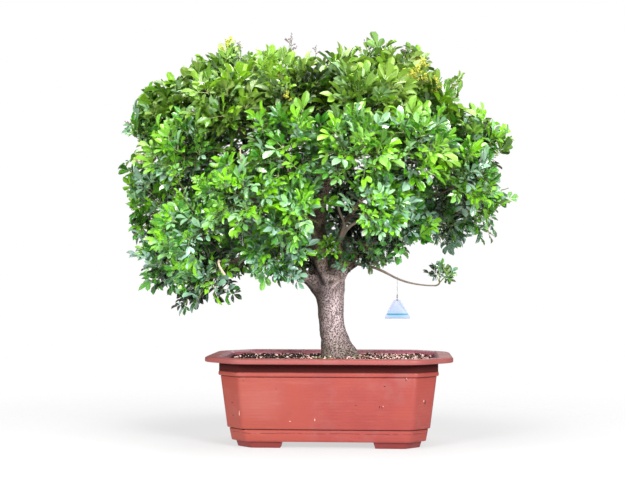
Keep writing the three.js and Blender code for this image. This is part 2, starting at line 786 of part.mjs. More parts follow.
function add(name, solid, material) {
  const mesh = new THREE.Mesh(geometryOf(solid), material);
  mesh.name = name;
  tree.add(mesh);
}

const wood = union([
  makeTrunk(),
  ...[...Object.values(limbs), cutTwig].map(makeLimb),
  ...sprays.map(makeBranch),
]).asOriginal().simplify(trunk.detail);
const standing = {};
for (const [name, [sprayName, tip]] of Object.entries(panicles.places))
  standing[sprayName] = { name, ...makePanicle(sprays.find((s) => s.name === sprayName), tip) };

add("pot", makePot(), finishes.plastic);
add("soil", makeSoil(makeTrunk(trunk.holeClearance)), finishes.soil);
add("trunk_and_branches", wood, finishes.bark);
sprays.forEach((own, i) => {
  const panicle = standing[own.name];
  const { core, blades } = makeSpray(own, 100 + i, [wood, ...(panicle ? [panicle.solid] : [])]);
  let solid = union([core, ...blades]);
  if (panicle) solid = solid.subtract(panicle.socket);
  const height = own.middle.z;
  const shaded = height < spray.shadedBelow ? finishes.leafLow : finishes.leafSide;
  add(own.name, solid, height > spray.brightAbove ? finishes.leafTop : shaded);
  if (panicle) add(panicle.name, panicle.solid, finishes.flower);
});
add("tag", makeTag(hangingPlace()), finishes.tag);
add("tag_wire", makeWire(hangingPlace()), finishes.wire);

const box = new THREE.Box3().setFromObject(tree);
tree.position.set(-(box.min.x + box.max.x) / 2, -(box.min.y + box.max.y) / 2, 0);

const part = new THREE.Group();
part.add(tree);

export default part;
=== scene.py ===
# An aglaia bonsai in its pot. Sizes in the dictionaries are millimetres, from the middle of the pot on the
# table. Numbers in the materials are metres.
import json
import math
import random

import bpy
import numpy as np
from mathutils import Matrix, Vector, noise


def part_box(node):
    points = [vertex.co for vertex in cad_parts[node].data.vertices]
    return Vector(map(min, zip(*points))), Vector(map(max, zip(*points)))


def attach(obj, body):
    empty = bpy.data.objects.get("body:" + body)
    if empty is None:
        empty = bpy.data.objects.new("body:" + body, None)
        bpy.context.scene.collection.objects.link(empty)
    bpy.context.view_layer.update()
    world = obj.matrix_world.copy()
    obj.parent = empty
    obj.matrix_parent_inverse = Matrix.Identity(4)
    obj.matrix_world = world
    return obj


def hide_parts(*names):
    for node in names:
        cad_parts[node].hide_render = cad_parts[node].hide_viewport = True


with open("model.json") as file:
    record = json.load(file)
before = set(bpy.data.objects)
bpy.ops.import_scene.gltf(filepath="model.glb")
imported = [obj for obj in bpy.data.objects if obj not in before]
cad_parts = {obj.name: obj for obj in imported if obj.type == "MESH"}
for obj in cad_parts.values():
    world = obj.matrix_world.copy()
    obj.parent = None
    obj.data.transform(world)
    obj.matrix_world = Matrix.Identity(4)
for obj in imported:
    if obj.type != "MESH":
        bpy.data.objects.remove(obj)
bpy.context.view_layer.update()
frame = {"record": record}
potLow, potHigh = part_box("pot")
potMiddle = (potLow + potHigh) / 2
mm = 0.001
upward = Vector((0, 0, 1))
goldenTurn = math.radians(137.5)
doubleDistance = 1e-6  # metres


def spot(x, y, z):
    return Vector((x * mm + potMiddle.x, y * mm + potMiddle.y, z * mm))


def blendTo(a, b, share):
    return a + (b - a) * share


def smoothStep(low, high, value):
    share = min(1, max(0, (value - low) / (high - low)))
    return share * share * (3 - 2 * share)


# Small helpers for working as by hand

def pick(*things):
    bpy.ops.object.select_all(action="DESELECT")
    for thing in things:
        thing.select_set(True)
    bpy.context.view_layer.objects.active = things[0]


# What an operator has just added.
def added(name):
    thing = bpy.context.object
    thing.name = name
    return thing


def applyPlace(thing):
    pick(thing)
    bpy.ops.object.transform_apply(location=True, rotation=True, scale=True)


def applyModifier(thing, kind, **settings):
    pick(thing)
    modifier = thing.modifiers.new(kind.lower(), kind)
    for key, value in settings.items():
        setattr(modifier, key, value)
    bpy.ops.object.modifier_apply(modifier=modifier.name)


def joinInto(first, others):
    pick(first, *others)
    bpy.ops.object.join()
    return first


def addThing(name, data):
    thing = bpy.data.objects.new(name, data)
    bpy.context.scene.collection.objects.link(thing)
    return thing


def remove(thing):
    mesh = thing.data
    bpy.data.objects.remove(thing)
    bpy.data.meshes.remove(mesh)


def editAll():
    bpy.ops.object.mode_set(mode="EDIT")
    bpy.ops.mesh.select_all(action="SELECT")


def leaveEdit():
    bpy.ops.object.mode_set(mode="OBJECT")


def fixNormals(thing):
    pick(thing)
    editAll()
    bpy.ops.mesh.remove_doubles(threshold=doubleDistance)
    bpy.ops.mesh.normals_make_consistent(inside=False)
    leaveEdit()


def smoothByAngle(thing, degrees):
    pick(thing)
    bpy.ops.object.shade_smooth_by_angle(angle=math.radians(degrees))


def pointsOf(thing):
    places = np.empty(len(thing.data.vertices) * 3)
    thing.data.vertices.foreach_get("co", places)
    return places.reshape(-1, 3)


def setPoints(thing, places):
    thing.data.vertices.foreach_set("co", np.asarray(places, dtype=np.float32).ravel())
    thing.data.update()


# One value for each point of a mesh, for a material to read.
def markPoints(thing, name, values):
    mark = thing.data.attributes.new(name, "FLOAT", "POINT")
    mark.data.foreach_set("value", np.asarray(values, dtype=np.float32))


def finishPiece(thing, slotName, material, *nodes):
    thing.data.materials.clear()
    thing.data.materials.append(material)
    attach(thing, "root")
    if nodes:
        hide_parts(*nodes)
    triangles = sum(len(face.vertices) - 2 for face in thing.data.polygons)
    triangleCount.append(triangles)
    print(f"  {thing.name}: {triangles} triangles")


triangleCount = []

# Camera, floor and lights

viewpoint = {"distance": 3100, "height": 405, "azimuth": 3.0, "turn": 0.833, "tilt": 1.825, "lens": 71.4}


eye = Vector((viewpoint["distance"] * math.sin(math.radians(viewpoint["azimuth"])),
              -viewpoint["distance"] * math.cos(math.radians(viewpoint["azimuth"])), viewpoint["height"]))


def placeCamera():
    azimuth = math.radians(viewpoint["azimuth"])
    turned = (math.radians(90 + viewpoint["tilt"]), 0, azimuth + math.radians(viewpoint["turn"]))
    bpy.ops.object.camera_add(location=spot(*eye), rotation=turned)
    camera = added("viewpoint")
    camera.data.lens = viewpoint["lens"]
    bpy.context.scene.camera = camera


studio = {
    "worldLight": 0.22,
    "floorRadius": 3000,
    "floorFade": (0.5, 1.6),  # metres from the pot
    "floorColour": 0.23, "floorGlow": 0.61,  # the paper is lit from below too, so its shadows stay pale
    # Soft boxes: place, the point that each faces, side in metres and watts.
    "boxes": {
        "overhead": ((-100, -600, 2400), (0, 0, 600), 1.2, 58),
        "frontLeft": ((-1500, -2500, 1100), (0, 0, 560), 0.9, 86),
        "frontRight": ((1600, -2400, 1300), (0, 0, 520), 0.9, 112),
        "behind": ((300, 2100, 1900), (0, 0, 700), 1.6, 30),
    },
}


def setStudio():
    scene = bpy.context.scene
    scene.view_settings.view_transform = "Standard"
    world = bpy.data.worlds.new("studioWorld")
    scene.world = world
    world.use_nodes = True
    tree = world.node_tree
    background = tree.nodes["Background"]
    background.inputs["Color"].default_value = (1, 1, 1, 1)
    path = addNode(tree, "ShaderNodeLightPath")
    strength = addNode(tree, "ShaderNodeMapRange", ins={"To Min": studio["worldLight"], "To Max": 1.0})
    tree.links.new(path.outputs["Is Camera Ray"], strength.inputs["Value"])
    tree.links.new(strength.outputs["Result"], background.inputs["Strength"])
    bpy.ops.mesh.primitive_circle_add(vertices=96, radius=studio["floorRadius"] * mm, fill_type="NGON")
    floor = added("studioFloor")
    floor.data.materials.append(floorMaterial())
    for name, (place, target, side, watts) in studio["boxes"].items():
        bpy.ops.object.light_add(type="AREA", location=spot(*place))
        lamp = added(name)
        lamp.data.shape = "SQUARE"
        lamp.data.size = side
        lamp.data.energy = watts
        lamp.rotation_euler = (spot(*target) - lamp.location).to_track_quat("-Z", "Y").to_euler()


# Nodes

def addNode(tree, kind, ins=None, **settings):
    node = tree.nodes.new(kind)
    for key, value in settings.items():
        setattr(node, key, value)
    for key, value in (ins or {}).items():
        node.inputs[key].default_value = value
    return node


def mixColours(tree, share, first, second, mode="MIX"):
    node = addNode(tree, "ShaderNodeMix", data_type="RGBA", blend_type=mode)
    feed(tree, share, node.inputs[0])
    feed(tree, first, node.inputs[6])
    feed(tree, second, node.inputs[7])
    return node.outputs[2]


def feed(tree, source, socket):
    if isinstance(source, bpy.types.NodeSocket):
        tree.links.new(source, socket)
    else:
        socket.default_value = source


def doMath(tree, operation, first, second=0.0, clamp=False):
    node = addNode(tree, "ShaderNodeMath", operation=operation, use_clamp=clamp)
    feed(tree, first, node.inputs[0])
    feed(tree, second, node.inputs[1])
    return node.outputs[0]


def times(tree, first, second, clamp=False):
    return doMath(tree, "MULTIPLY", first, second, clamp)


def plus(tree, first, second):
    return doMath(tree, "ADD", first, second)


def minus(tree, first, second, clamp=False):
    return doMath(tree, "SUBTRACT", first, second, clamp)


def lengthOf(tree, vector):
    node = addNode(tree, "ShaderNodeVectorMath", operation="LENGTH")
    tree.links.new(vector, node.inputs[0])
    return node.outputs["Value"]


def axesOf(tree, vector):
    node = addNode(tree, "ShaderNodeSeparateXYZ")
    tree.links.new(vector, node.inputs[0])
    return node.outputs


def remap(tree, value, low, high, toLow=0.0, toHigh=1.0):
    node = addNode(tree, "ShaderNodeMapRange", interpolation_type="SMOOTHSTEP")
    feed(tree, value, node.inputs["Value"])
    for key, amount in {"From Min": low, "From Max": high, "To Min": toLow, "To Max": toHigh}.items():
        node.inputs[key].default_value = amount
    return node.outputs["Result"]


def noiseOf(tree, coordinates, scale, detail=3.0, roughness=0.55, distortion=0.0):
    values = {"Scale": scale, "Detail": detail, "Roughness": roughness, "Distortion": distortion}
    node = addNode(tree, "ShaderNodeTexNoise", ins=values)
    tree.links.new(coordinates, node.inputs["Vector"])
    return node.outputs["Fac"]


def stretched(tree, coordinates, scale, moved=(0, 0, 0)):
    node = addNode(tree, "ShaderNodeMapping", ins={"Scale": scale, "Location": moved})
    tree.links.new(coordinates, node.inputs["Vector"])
    return node.outputs["Vector"]


def objectPlaces(tree):
    return addNode(tree, "ShaderNodeTexCoord").outputs["Object"]


def attribute(tree, name):
    return addNode(tree, "ShaderNodeAttribute", attribute_name=name).outputs["Fac"]


def linear(hexText):
    parts = [int(hexText[i:i + 2], 16) / 255 for i in (1, 3, 5)]
    bright = [part / 12.92 if part <= 0.04045 else ((part + 0.055) / 1.055) ** 2.4 for part in parts]
    return (*bright, 1.0)


def newGroup(name, inputs, outputs):
    group = bpy.data.node_groups.new(name, "ShaderNodeTree")
    for label, (kind, value) in inputs.items():
        socket = group.interface.new_socket(label, in_out="INPUT", socket_type="NodeSocket" + kind)
        socket.default_value = value
    for label, kind in outputs.items():
        group.interface.new_socket(label, in_out="OUTPUT", socket_type="NodeSocket" + kind)
    return group, group.nodes.new("NodeGroupInput"), group.nodes.new("NodeGroupOutput")


def useGroup(tree, group, **values):
    node = addNode(tree, "ShaderNodeGroup", node_tree=group)
    for key, value in values.items():
        feed(tree, value, node.inputs[key])
    return node.outputs


# Soft blotches from a stretched noise, for dust, stains and uneven colour.
def makeBlotches():
    inputs = {"Places": ("Vector", (0, 0, 0)), "Scale": ("Float", 10.0), "From": ("Float", 0.4),
              "To": ("Float", 0.6)}
    group, source, result = newGroup("blotches", inputs, {"Mask": "Float"})
    cloud = addNode(group, "ShaderNodeTexNoise", ins={"Detail": 4.0, "Roughness": 0.6})
    group.links.new(source.outputs["Places"], cloud.inputs["Vector"])
    group.links.new(source.outputs["Scale"], cloud.inputs["Scale"])
    spread = addNode(group, "ShaderNodeMapRange", interpolation_type="SMOOTHSTEP")
    group.links.new(cloud.outputs["Fac"], spread.inputs["Value"])
    group.links.new(source.outputs["From"], spread.inputs["From Min"])
    group.links.new(source.outputs["To"], spread.inputs["From Max"])
    group.links.new(spread.outputs["Result"], result.inputs["Mask"])
    return group


# Small separate dots of uneven size, for lenticels, nicks and grit.
def makeDots():
    inputs = {"Places": ("Vector", (0, 0, 0)), "Scale": ("Float", 200.0), "Size": ("Float", 0.3),
              "Share": ("Float", 0.5)}
    group, source, result = newGroup("dots", inputs, {"Mask": "Float"})
    cells = addNode(group, "ShaderNodeTexVoronoi", ins={"Randomness": 1.0})
    group.links.new(source.outputs["Places"], cells.inputs["Vector"])
    group.links.new(source.outputs["Scale"], cells.inputs["Scale"])
    pickCell = addNode(group, "ShaderNodeSeparateColor")
    group.links.new(cells.outputs["Color"], pickCell.inputs["Color"])
    chosen = doMath(group, "LESS_THAN", pickCell.outputs["Red"], source.outputs["Share"])
    ownSize = times(group, plus(group, pickCell.outputs["Green"], 0.35), source.outputs["Size"])
    near = minus(group, ownSize, cells.outputs["Distance"])
    edge = times(group, near, 9.0, clamp=True)
    group.links.new(times(group, edge, chosen), result.inputs["Mask"])
    return group


def blotchMask(tree, blotches, places, scale, low, high):
    return useGroup(tree, blotches, Places=places, Scale=scale, From=low, To=high)["Mask"]


def dotMask(tree, dots, places, scale, size, share):
    return useGroup(tree, dots, Places=places, Scale=scale, Size=size, Share=share)["Mask"]


def newMaterial(name, roughness=0.5, specular=0.5):
    material = bpy.data.materials.new(name)
    material.use_nodes = True
    shader = material.node_tree.nodes["Principled BSDF"]
    shader.inputs["Roughness"].default_value = roughness
    shader.inputs["Specular IOR Level"].default_value = specular
    return material, material.node_tree, shader


def addBump(tree, shader, height, distance, strength=1.0):
    bump = addNode(tree, "ShaderNodeBump", ins={"Distance": distance * mm, "Strength": strength})
    tree.links.new(height, bump.inputs["Height"])
    tree.links.new(bump.outputs["Normal"], shader.inputs["Normal"])


def floorMaterial():
    material, tree, shader = newMaterial("floorPaper", roughness=0.9, specular=0.1)
    shader.inputs["Base Color"].default_value = (*[studio["floorColour"]] * 3, 1)
    shader.inputs["Emission Color"].default_value = (1, 1, 1, 1)
    shader.inputs["Emission Strength"].default_value = studio["floorGlow"]
    fade = remap(tree, lengthOf(tree, objectPlaces(tree)), *studio["floorFade"], 1.0, 0.0)
    tree.links.new(fade, shader.inputs["Alpha"])
    return material


potColours = {
    "wall": "#97443c", "wallDeep": "#8e3c37", "warm": "#964438", "scuff": "#a7655d", "lip": "#924e4b",
    "inside": "#874d57", "dust": "#987876", "nick": "#421513", "scratchAndGlint": "#e8b9aa", "line": "#7c2f2a",
    "paintedShade": "#380a08", "foot": "#6a2426",
}


# Heights on the wall and places on its front, in metres, and how strongly the painted shade shows.
potLook = {
    "warm": (-0.25, 0.12), "seam": 0.0365, "seamWave": 0.004, "seamHalf": 0.0012, "footFade": (0.01, 0.022),
    "frontWall": (-0.13, -0.12), "underLip": ((0.1795, 0.183), (0.206, 0.209)),
    "grooves": ((0.1708, 0.0013), (0.045, 0.0016)), "paintedShade": 0.96, "paintedGrooveShade": 0.85,
    "scuffAt": (-0.118, 0.112), "scuffScale": (13, 3, 17), "roughness": (0.4, 0.56),
}


# Where the wall is nicked: x, z, half width, half height and colour. The pale marks beside some nicks are
# painted highlights on their edges; the others are pale scratches.
potMarks = [
    (136, 150, 3.4, 1.6, "nick"), (186, 166, 1.4, 5.5, "nick"), (187.5, 170, 1, 3, "scratchAndGlint"),
    (68, 105, 2.2, 1.4, "nick"), (124, 101, 1.5, 4.2, "nick"), (130, 101, 1.3, 4.2, "nick"),
    (132, 103, 0.9, 2, "scratchAndGlint"), (231, 111, 1.9, 7, "nick"), (228.4, 114, 1, 3.4, "scratchAndGlint"),
    (-228, 108, 2, 2.2, "nick"), (-226, 77, 1.8, 2.2, "nick"), (-209, 84, 1, 8, "scratchAndGlint"),
    (-29, 70, 1, 4, "scratchAndGlint"), (-88, 66, 2.4, 1, "scratchAndGlint"),
]


def potMaterial(blotches, dots):
    material, tree, shader = newMaterial("mouldedPlastic", specular=0.3)
    places = objectPlaces(tree)
    colours = {key: linear(value) for key, value in potColours.items()}
    uneven = blotchMask(tree, blotches, places, 9.0, 0.35, 0.68)
    colour = mixColours(tree, uneven, colours["wall"], colours["wallDeep"])
    split = axesOf(tree, places)
    height = split["Z"]
    colour = mixColours(tree, remap(tree, split["X"], *potLook["warm"], 0.9, 0.0), colour, colours["warm"])
    # Rubbed paler in long level strokes, most on the left of the front.
    strokes = blotchMask(tree, blotches, stretched(tree, places, (1, 1, 7)), 14.0, 0.5, 0.85)
    strokeShare = times(tree, strokes, 0.3)
    colour = mixColours(tree, strokeShare, colour, colours["scuff"])
    scale, (x, z) = potLook["scuffScale"], potLook["scuffAt"]
    scuffPlace = stretched(tree, places, scale, (-scale[0] * x, 0, -scale[2] * z))
    patch = remap(tree, lengthOf(tree, scuffPlace), 0.2, 1.2, 0.4, 0.0)
    colour = mixColours(tree, patch, colour, colours["scuff"])
    # Hairlines left by the mould run level round the wall.
    rings = addNode(tree, "ShaderNodeTexWave", wave_type="BANDS", bands_direction="Z",
                    ins={"Scale": 42.0, "Distortion": 1.6, "Detail": 2.0, "Detail Scale": 0.4})
    tree.links.new(stretched(tree, places, (0.12, 0.12, 1)), rings.inputs["Vector"])
    hairline = remap(tree, rings.outputs["Fac"], 0.9, 1.0, 0.0, 0.22)
    faint = blotchMask(tree, blotches, places, 6.0, 0.45, 0.6)
    hairline = times(tree, hairline, faint)
    colour = mixColours(tree, hairline, colour, colours["line"])
    # A broken dark line under the groove of the base band.
    waved = times(tree, minus(tree, noiseOf(tree, places, 22.0), 0.5), potLook["seamWave"])
    seam = minus(tree, plus(tree, height, waved), potLook["seam"])
    seam = minus(tree, potLook["seamHalf"], doMath(tree, "ABSOLUTE", seam))
    seam = times(tree, seam, 1200.0, clamp=True)
    gaps = blotchMask(tree, blotches, stretched(tree, places, (1, 1, 0.1)), 60.0, 0.4, 0.5)
    colour = mixColours(tree, times(tree, seam, times(tree, gaps, 0.7)), colour, colours["nick"])
    nicks = dotMask(tree, dots, places, 38.0, 0.075, 0.3)
    colour = mixColours(tree, nicks, colour, colours["nick"])
    chips = dotMask(tree, dots, stretched(tree, places, (1, 1, 0.35)), 47.0, 0.085, 0.16)
    colour = mixColours(tree, times(tree, chips, 0.75), colour, linear("#f0c4b8"))
    colour = mixColours(tree, remap(tree, height, *potLook["footFade"], 0.7, 0.0), colour, colours["foot"])
    colour = mixColours(tree, attribute(tree, "lip"), colour, colours["lip"])
    inside = attribute(tree, "inside")
    colour = mixColours(tree, inside, colour, colours["inside"])
    dusty = blotchMask(tree, blotches, places, 16.0, 0.5, 0.72)
    dustShare = times(tree, dusty, remap(tree, inside, 0.0, 1.0, 0.12, 0.5))
    colour = mixColours(tree, dustShare, colour, colours["dust"])
    # Nicks and scratches on the front wall, with painted highlights beside some nicks.
    front = remap(tree, split["Y"], *potLook["frontWall"], 0.9, 0.0)
    for x, z, wide, tall, key in potMarks:
        centre = (-(x * mm + potMiddle.x) / (wide * mm), 0, -z / tall)
        away = lengthOf(tree, stretched(tree, places, (1 / (wide * mm), 0, 1 / (tall * mm)), centre))
        mark = times(tree, remap(tree, away, 0.6, 1.0, 1.0, 0.0), front)
        colour = mixColours(tree, mark, colour, colours[key])
    # Painted shade under the lip and in the two grooves, where the lip and the grooves shade the wall.
    outside = minus(tree, 1.0, inside)
    rise, fall = potLook["underLip"]
    under = times(tree, remap(tree, height, *rise), remap(tree, height, *fall, 1.0, 0.0))
    under = times(tree, under, minus(tree, outside, attribute(tree, "lip"), clamp=True))
    colour = mixColours(tree, times(tree, under, potLook["paintedShade"]), colour, colours["paintedShade"])
    for groove, half in potLook["grooves"]:
        near = minus(tree, half, doMath(tree, "ABSOLUTE", minus(tree, height, groove)))
        near = times(tree, times(tree, near, 900.0, clamp=True), outside)
        colour = mixColours(tree, times(tree, near, potLook["paintedGrooveShade"]), colour, colours["paintedShade"])
    tree.links.new(colour, shader.inputs["Base Color"])
    rough = doMath(tree, "MAXIMUM", remap(tree, uneven, 0.0, 1.0, *potLook["roughness"]), under)
    tree.links.new(rough, shader.inputs["Roughness"])
    grain = noiseOf(tree, places, 420.0, detail=2.0)
    relief = minus(tree, times(tree, grain, 0.25), plus(tree, hairline, nicks))
    addBump(tree, shader, relief, 0.5)
    return material


soilColours = {"dark": "#1a110e", "brown": "#4c362d", "tan": "#b48575", "pale": "#ead0c4", "pink": "#c48379"}
soilSteps = [(0.0, "dark"), (0.3, "brown"), (0.5, "tan"), (0.66, "pink"), (0.8, "pale")]


# Colour by each grain's own shade, with the same steps for the ground between.
def gritMaterial(blotches, name, fromAttribute):
    material, tree, shader = newMaterial(name, roughness=0.85, specular=0.25)
    places = objectPlaces(tree)
    if fromAttribute:
        shade = attribute(tree, "shade")
    else:
        cells = addNode(tree, "ShaderNodeTexVoronoi", ins={"Scale": 260.0, "Randomness": 1.0})
        tree.links.new(places, cells.inputs["Vector"])
        channels = addNode(tree, "ShaderNodeSeparateColor")
        tree.links.new(cells.outputs["Color"], channels.inputs["Color"])
        shade = times(tree, channels.outputs["Red"], 0.5)
    ramp = addNode(tree, "ShaderNodeValToRGB")
    steps = ramp.color_ramp.elements
    steps.remove(steps[1])
    for position, key in soilSteps:
        stop = steps[0] if position == 0 else steps.new(position)
        stop.color = linear(soilColours[key])
    tree.links.new(shade, ramp.inputs["Fac"])
    damp = blotchMask(tree, blotches, places, 24.0, 0.42, 0.66)
    colour = mixColours(tree, times(tree, damp, 0.25), ramp.outputs["Color"], linear("#6a5348"), "MULTIPLY")
    tree.links.new(colour, shader.inputs["Base Color"])
    addBump(tree, shader, noiseOf(tree, places, 900.0), 0.8)
    return material


def mossMaterial():
    material, tree, shader = newMaterial("moss", roughness=0.95, specular=0.2)
    places = objectPlaces(tree)
    mottle = noiseOf(tree, places, 240.0)
    colour = mixColours(tree, remap(tree, mottle, 0.35, 0.65), linear("#4b6a33"), linear("#8fa65c"))
    tree.links.new(colour, shader.inputs["Base Color"])
    addBump(tree, shader, noiseOf(tree, places, 1400.0), 0.8)
    return material


barkColours = {
    "pink": "#d0bbbc", "grey": "#a89594", "tan": "#786a5d", "dark": "#241a17", "moss": "#666b4b",
    "fork": "#b59c88", "shadedOlive": "#3f342b",
}


# Heights, and distances from the middle to the right, where the colours of the bark fade into each other.
barkLook = {
    "foot": (0.208, 0.308), "fork": (0.36, 0.47), "mossTop": (0.213, 0.268), "mossSide": (0.02, 0.075),
    "shadeSide": (0.012, 0.054), "shadeTop": (0.37, 0.43),
    "tanShare": 0.85, "forkShare": 0.8, "mossShare": 0.75, "shadeShare": 0.86, "pitShare": 0.8,
    "scarAndShadeShare": 0.9, "speckScale": 310.0, "fleckScale": 380.0, "relief": 2.2,
}


def barkMaterial(blotches, dots):
    material, tree, shader = newMaterial("bark", roughness=0.82, specular=0.25)
    places = objectPlaces(tree)
    colours = {key: linear(value) for key, value in barkColours.items()}
    split = axesOf(tree, places)
    uneven = blotchMask(tree, blotches, places, 26.0, 0.36, 0.64)
    colour = mixColours(tree, uneven, colours["pink"], colours["grey"])
    foot = plus(tree, split["Z"], times(tree, uneven, 0.03))
    low = remap(tree, foot, *barkLook["foot"], barkLook["tanShare"], 0.0)
    colour = mixColours(tree, low, colour, colours["tan"])
    # The wood turns browner towards the fork and stays so in the crown; the colour there is also lightened as
    # painted light against the crown's shade.
    high = remap(tree, split["Z"], *barkLook["fork"], 0.0, barkLook["forkShare"])
    colour = mixColours(tree, high, colour, colours["fork"])
    mossy = blotchMask(tree, blotches, places, 34.0, 0.52, 0.7)
    low = remap(tree, split["Z"], *barkLook["mossTop"], barkLook["mossShare"], 0.0)
    side = remap(tree, split["X"], *barkLook["mossSide"], 1.0, 0.15)
    mossShare = times(tree, times(tree, mossy, low), side)
    colour = mixColours(tree, mossShare, colour, colours["moss"])
    tall = stretched(tree, places, (1, 1, 0.75))
    specks = dotMask(tree, dots, tall, barkLook["speckScale"], 0.44, 0.74)
    flecks = blotchMask(tree, blotches, tall, barkLook["fleckScale"], 0.5, 0.6)
    pits = doMath(tree, "MAXIMUM", specks, flecks)
    colour = mixColours(tree, times(tree, pits, barkLook["pitShare"]), colour, colours["dark"])
    # Painted shade: the left of the trunk, away from the window, is darker and olive up to the fork.
    away = times(tree, remap(tree, split["X"], *barkLook["shadeSide"], barkLook["shadeShare"], 0.0),
                 remap(tree, split["Z"], *barkLook["shadeTop"], 1.0, 0.0))
    colour = mixColours(tree, away, colour, colours["shadedOlive"])
    # The scar's own dark, with painted shade in the crease and on the stub.
    scar = times(tree, attribute(tree, "scar"), barkLook["scarAndShadeShare"])
    colour = mixColours(tree, scar, colour, colours["dark"])
    tree.links.new(colour, shader.inputs["Base Color"])
    coarse = noiseOf(tree, stretched(tree, places, (1, 1, 0.5)), 90.0, detail=5.0)
    addBump(tree, shader, minus(tree, coarse, times(tree, pits, 0.7)), barkLook["relief"])
    return material


def twigMaterial(blotches):
    material, tree, shader = newMaterial("youngBark", roughness=0.8, specular=0.3)
    places = objectPlaces(tree)
    uneven = blotchMask(tree, blotches, places, 45.0, 0.4, 0.6)
    brown = mixColours(tree, uneven, linear("#483d36"), linear("#66594f"))
    green = mixColours(tree, uneven, linear("#66763a"), linear("#7f8d4c"))
    colour = mixColours(tree, attribute(tree, "green"), brown, green)
    colour = mixColours(tree, attribute(tree, "pale"), colour, linear("#cbb7a5"))
    tree.links.new(colour, shader.inputs["Base Color"])
    addBump(tree, shader, noiseOf(tree, places, 420.0), 0.6)
    return material


# Widths and places on a leaflet are shares of its length. The rib is mapped to -1, where the stem's colour is.
leafLook = {"darkToGreen": (0.05, 0.5), "greenToBright": (0.5, 0.95), "mottle": 0.1, "midrib": (0.015, 0.05),
            "veins": 8.0, "veinSlant": 7.0, "veinWidth": 0.09, "midribPaleness": 0.35, "veinPaleness": 0.1,
            "roughness": (0.18, 0.34), "sunRoughness": 0.2, "midribDepth": -0.6, "veinDepth": -0.25}


# The face of a leaflet: its shade from dark to bright, partly its own tone and partly painted light and shade,
# with painted sunlight at the top of the crown or, with a sun below zero, a painted sheen, and with a pale
# midrib and side veins that run forward from it.
def makeLeafFace(blotches):
    inputs = {label: ("Color", (0, 0, 0, 1)) for label in leafColours["leaves"]}
    outputs = {"Colour": "Color", "Roughness": "Float", "Height": "Float"}
    group, source, result = newGroup("leafFace", inputs, outputs)
    given = source.outputs
    shade = attribute(group, "shade")
    sun = attribute(group, "sun")
    places = objectPlaces(group)
    mottle = blotchMask(group, blotches, places, 130.0, 0.3, 0.75)
    shade = plus(group, shade, times(group, minus(group, mottle, 0.5), leafLook["mottle"]))
    colour = mixColours(group, remap(group, shade, *leafLook["darkToGreen"]), given["Dark"], given["Green"])
    colour = mixColours(group, remap(group, shade, *leafLook["greenToBright"]), colour, given["Bright"])
    colour = mixColours(group, times(group, sun, -1.0, clamp=True), colour, given["Sheen"])
    colour = mixColours(group, sun, colour, given["Sunlit"])
    uvMap = addNode(group, "ShaderNodeUVMap", uv_map="leafMap")
    across = axesOf(group, uvMap.outputs["UV"])
    along = across["X"]
    sideways = doMath(group, "ABSOLUTE", minus(group, across["Y"], 0.5))
    midrib = remap(group, sideways, *leafLook["midrib"], 1.0, 0.0)
    slant = times(group, sideways, leafLook["veinSlant"])
    ripple = doMath(group, "PINGPONG", minus(group, times(group, along, leafLook["veins"]), slant), 0.5)
    vein = remap(group, ripple, 0.0, leafLook["veinWidth"], 1.0, 0.0)
    colour = mixColours(group, times(group, midrib, leafLook["midribPaleness"]), colour, given["Stem"])
    colour = mixColours(group, times(group, vein, leafLook["veinPaleness"]), colour, given["Stem"])
    colour = mixColours(group, doMath(group, "LESS_THAN", along, -0.5), colour, given["Stem"])
    group.links.new(colour, result.inputs["Colour"])
    gloss = remap(group, mottle, 0.0, 1.0, *leafLook["roughness"])
    dulled = plus(group, gloss, times(group, sun, leafLook["sunRoughness"]))
    group.links.new(dulled, result.inputs["Roughness"])
    hollow = times(group, midrib, leafLook["midribDepth"])
    height = plus(group, hollow, times(group, vein, leafLook["veinDepth"]))
    group.links.new(height, result.inputs["Height"])
    return group


leafColours = {
    "leaves_sunlit": {
        "Dark": "#0a1d07", "Green": "#407112", "Bright": "#79ab16", "Sunlit": "#7d9a40",
        "Sheen": "#87a876", "Stem": "#aabd70",
    },
    "leaves": {
        "Dark": "#05150a", "Green": "#367e12", "Bright": "#7cc210", "Sunlit": "#7f9e44",
        "Sheen": "#9fc2ab", "Stem": "#a9c476",
    },
    "leaves_shaded": {
        "Dark": "#05150d", "Green": "#418c2b", "Bright": "#8ad226", "Sunlit": "#8aa854",
        "Sheen": "#a8ccbe", "Stem": "#a8c480",
    },
}


def leafMaterial(name, leafFace):
    material, tree, shader = newMaterial(name, specular=0.85)
    colours = {key: linear(value) for key, value in leafColours[name].items()}
    face = useGroup(tree, leafFace, **colours)
    tree.links.new(face["Colour"], shader.inputs["Base Color"])
    tree.links.new(face["Roughness"], shader.inputs["Roughness"])
    addBump(tree, shader, face["Height"], 0.35)
    return material


def budMaterial():
    material, tree, shader = newMaterial("flowerBuds", roughness=0.5, specular=0.4)
    places = objectPlaces(tree)
    mottle = noiseOf(tree, places, 300.0)
    yellow = mixColours(tree, remap(tree, mottle, 0.4, 0.6), linear("#9ca636"), linear("#c8c64c"))
    colour = mixColours(tree, attribute(tree, "grey"), yellow, linear("#84767c"))
    colour = mixColours(tree, attribute(tree, "pale"), colour, linear("#d9cdb2"))
    tree.links.new(colour, shader.inputs["Base Color"])
    addBump(tree, shader, noiseOf(tree, places, 1500.0), 0.3)
    return material


# Heights from the top of the tag and distances from its middle.
tagLook = {"fade": (-0.048, -0.004), "sides": (0.014, 0.032), "band": -0.0375, "bandHalf": (0.0019, 0.0022),
           "bandReach": (0.0255, 0.0258)}


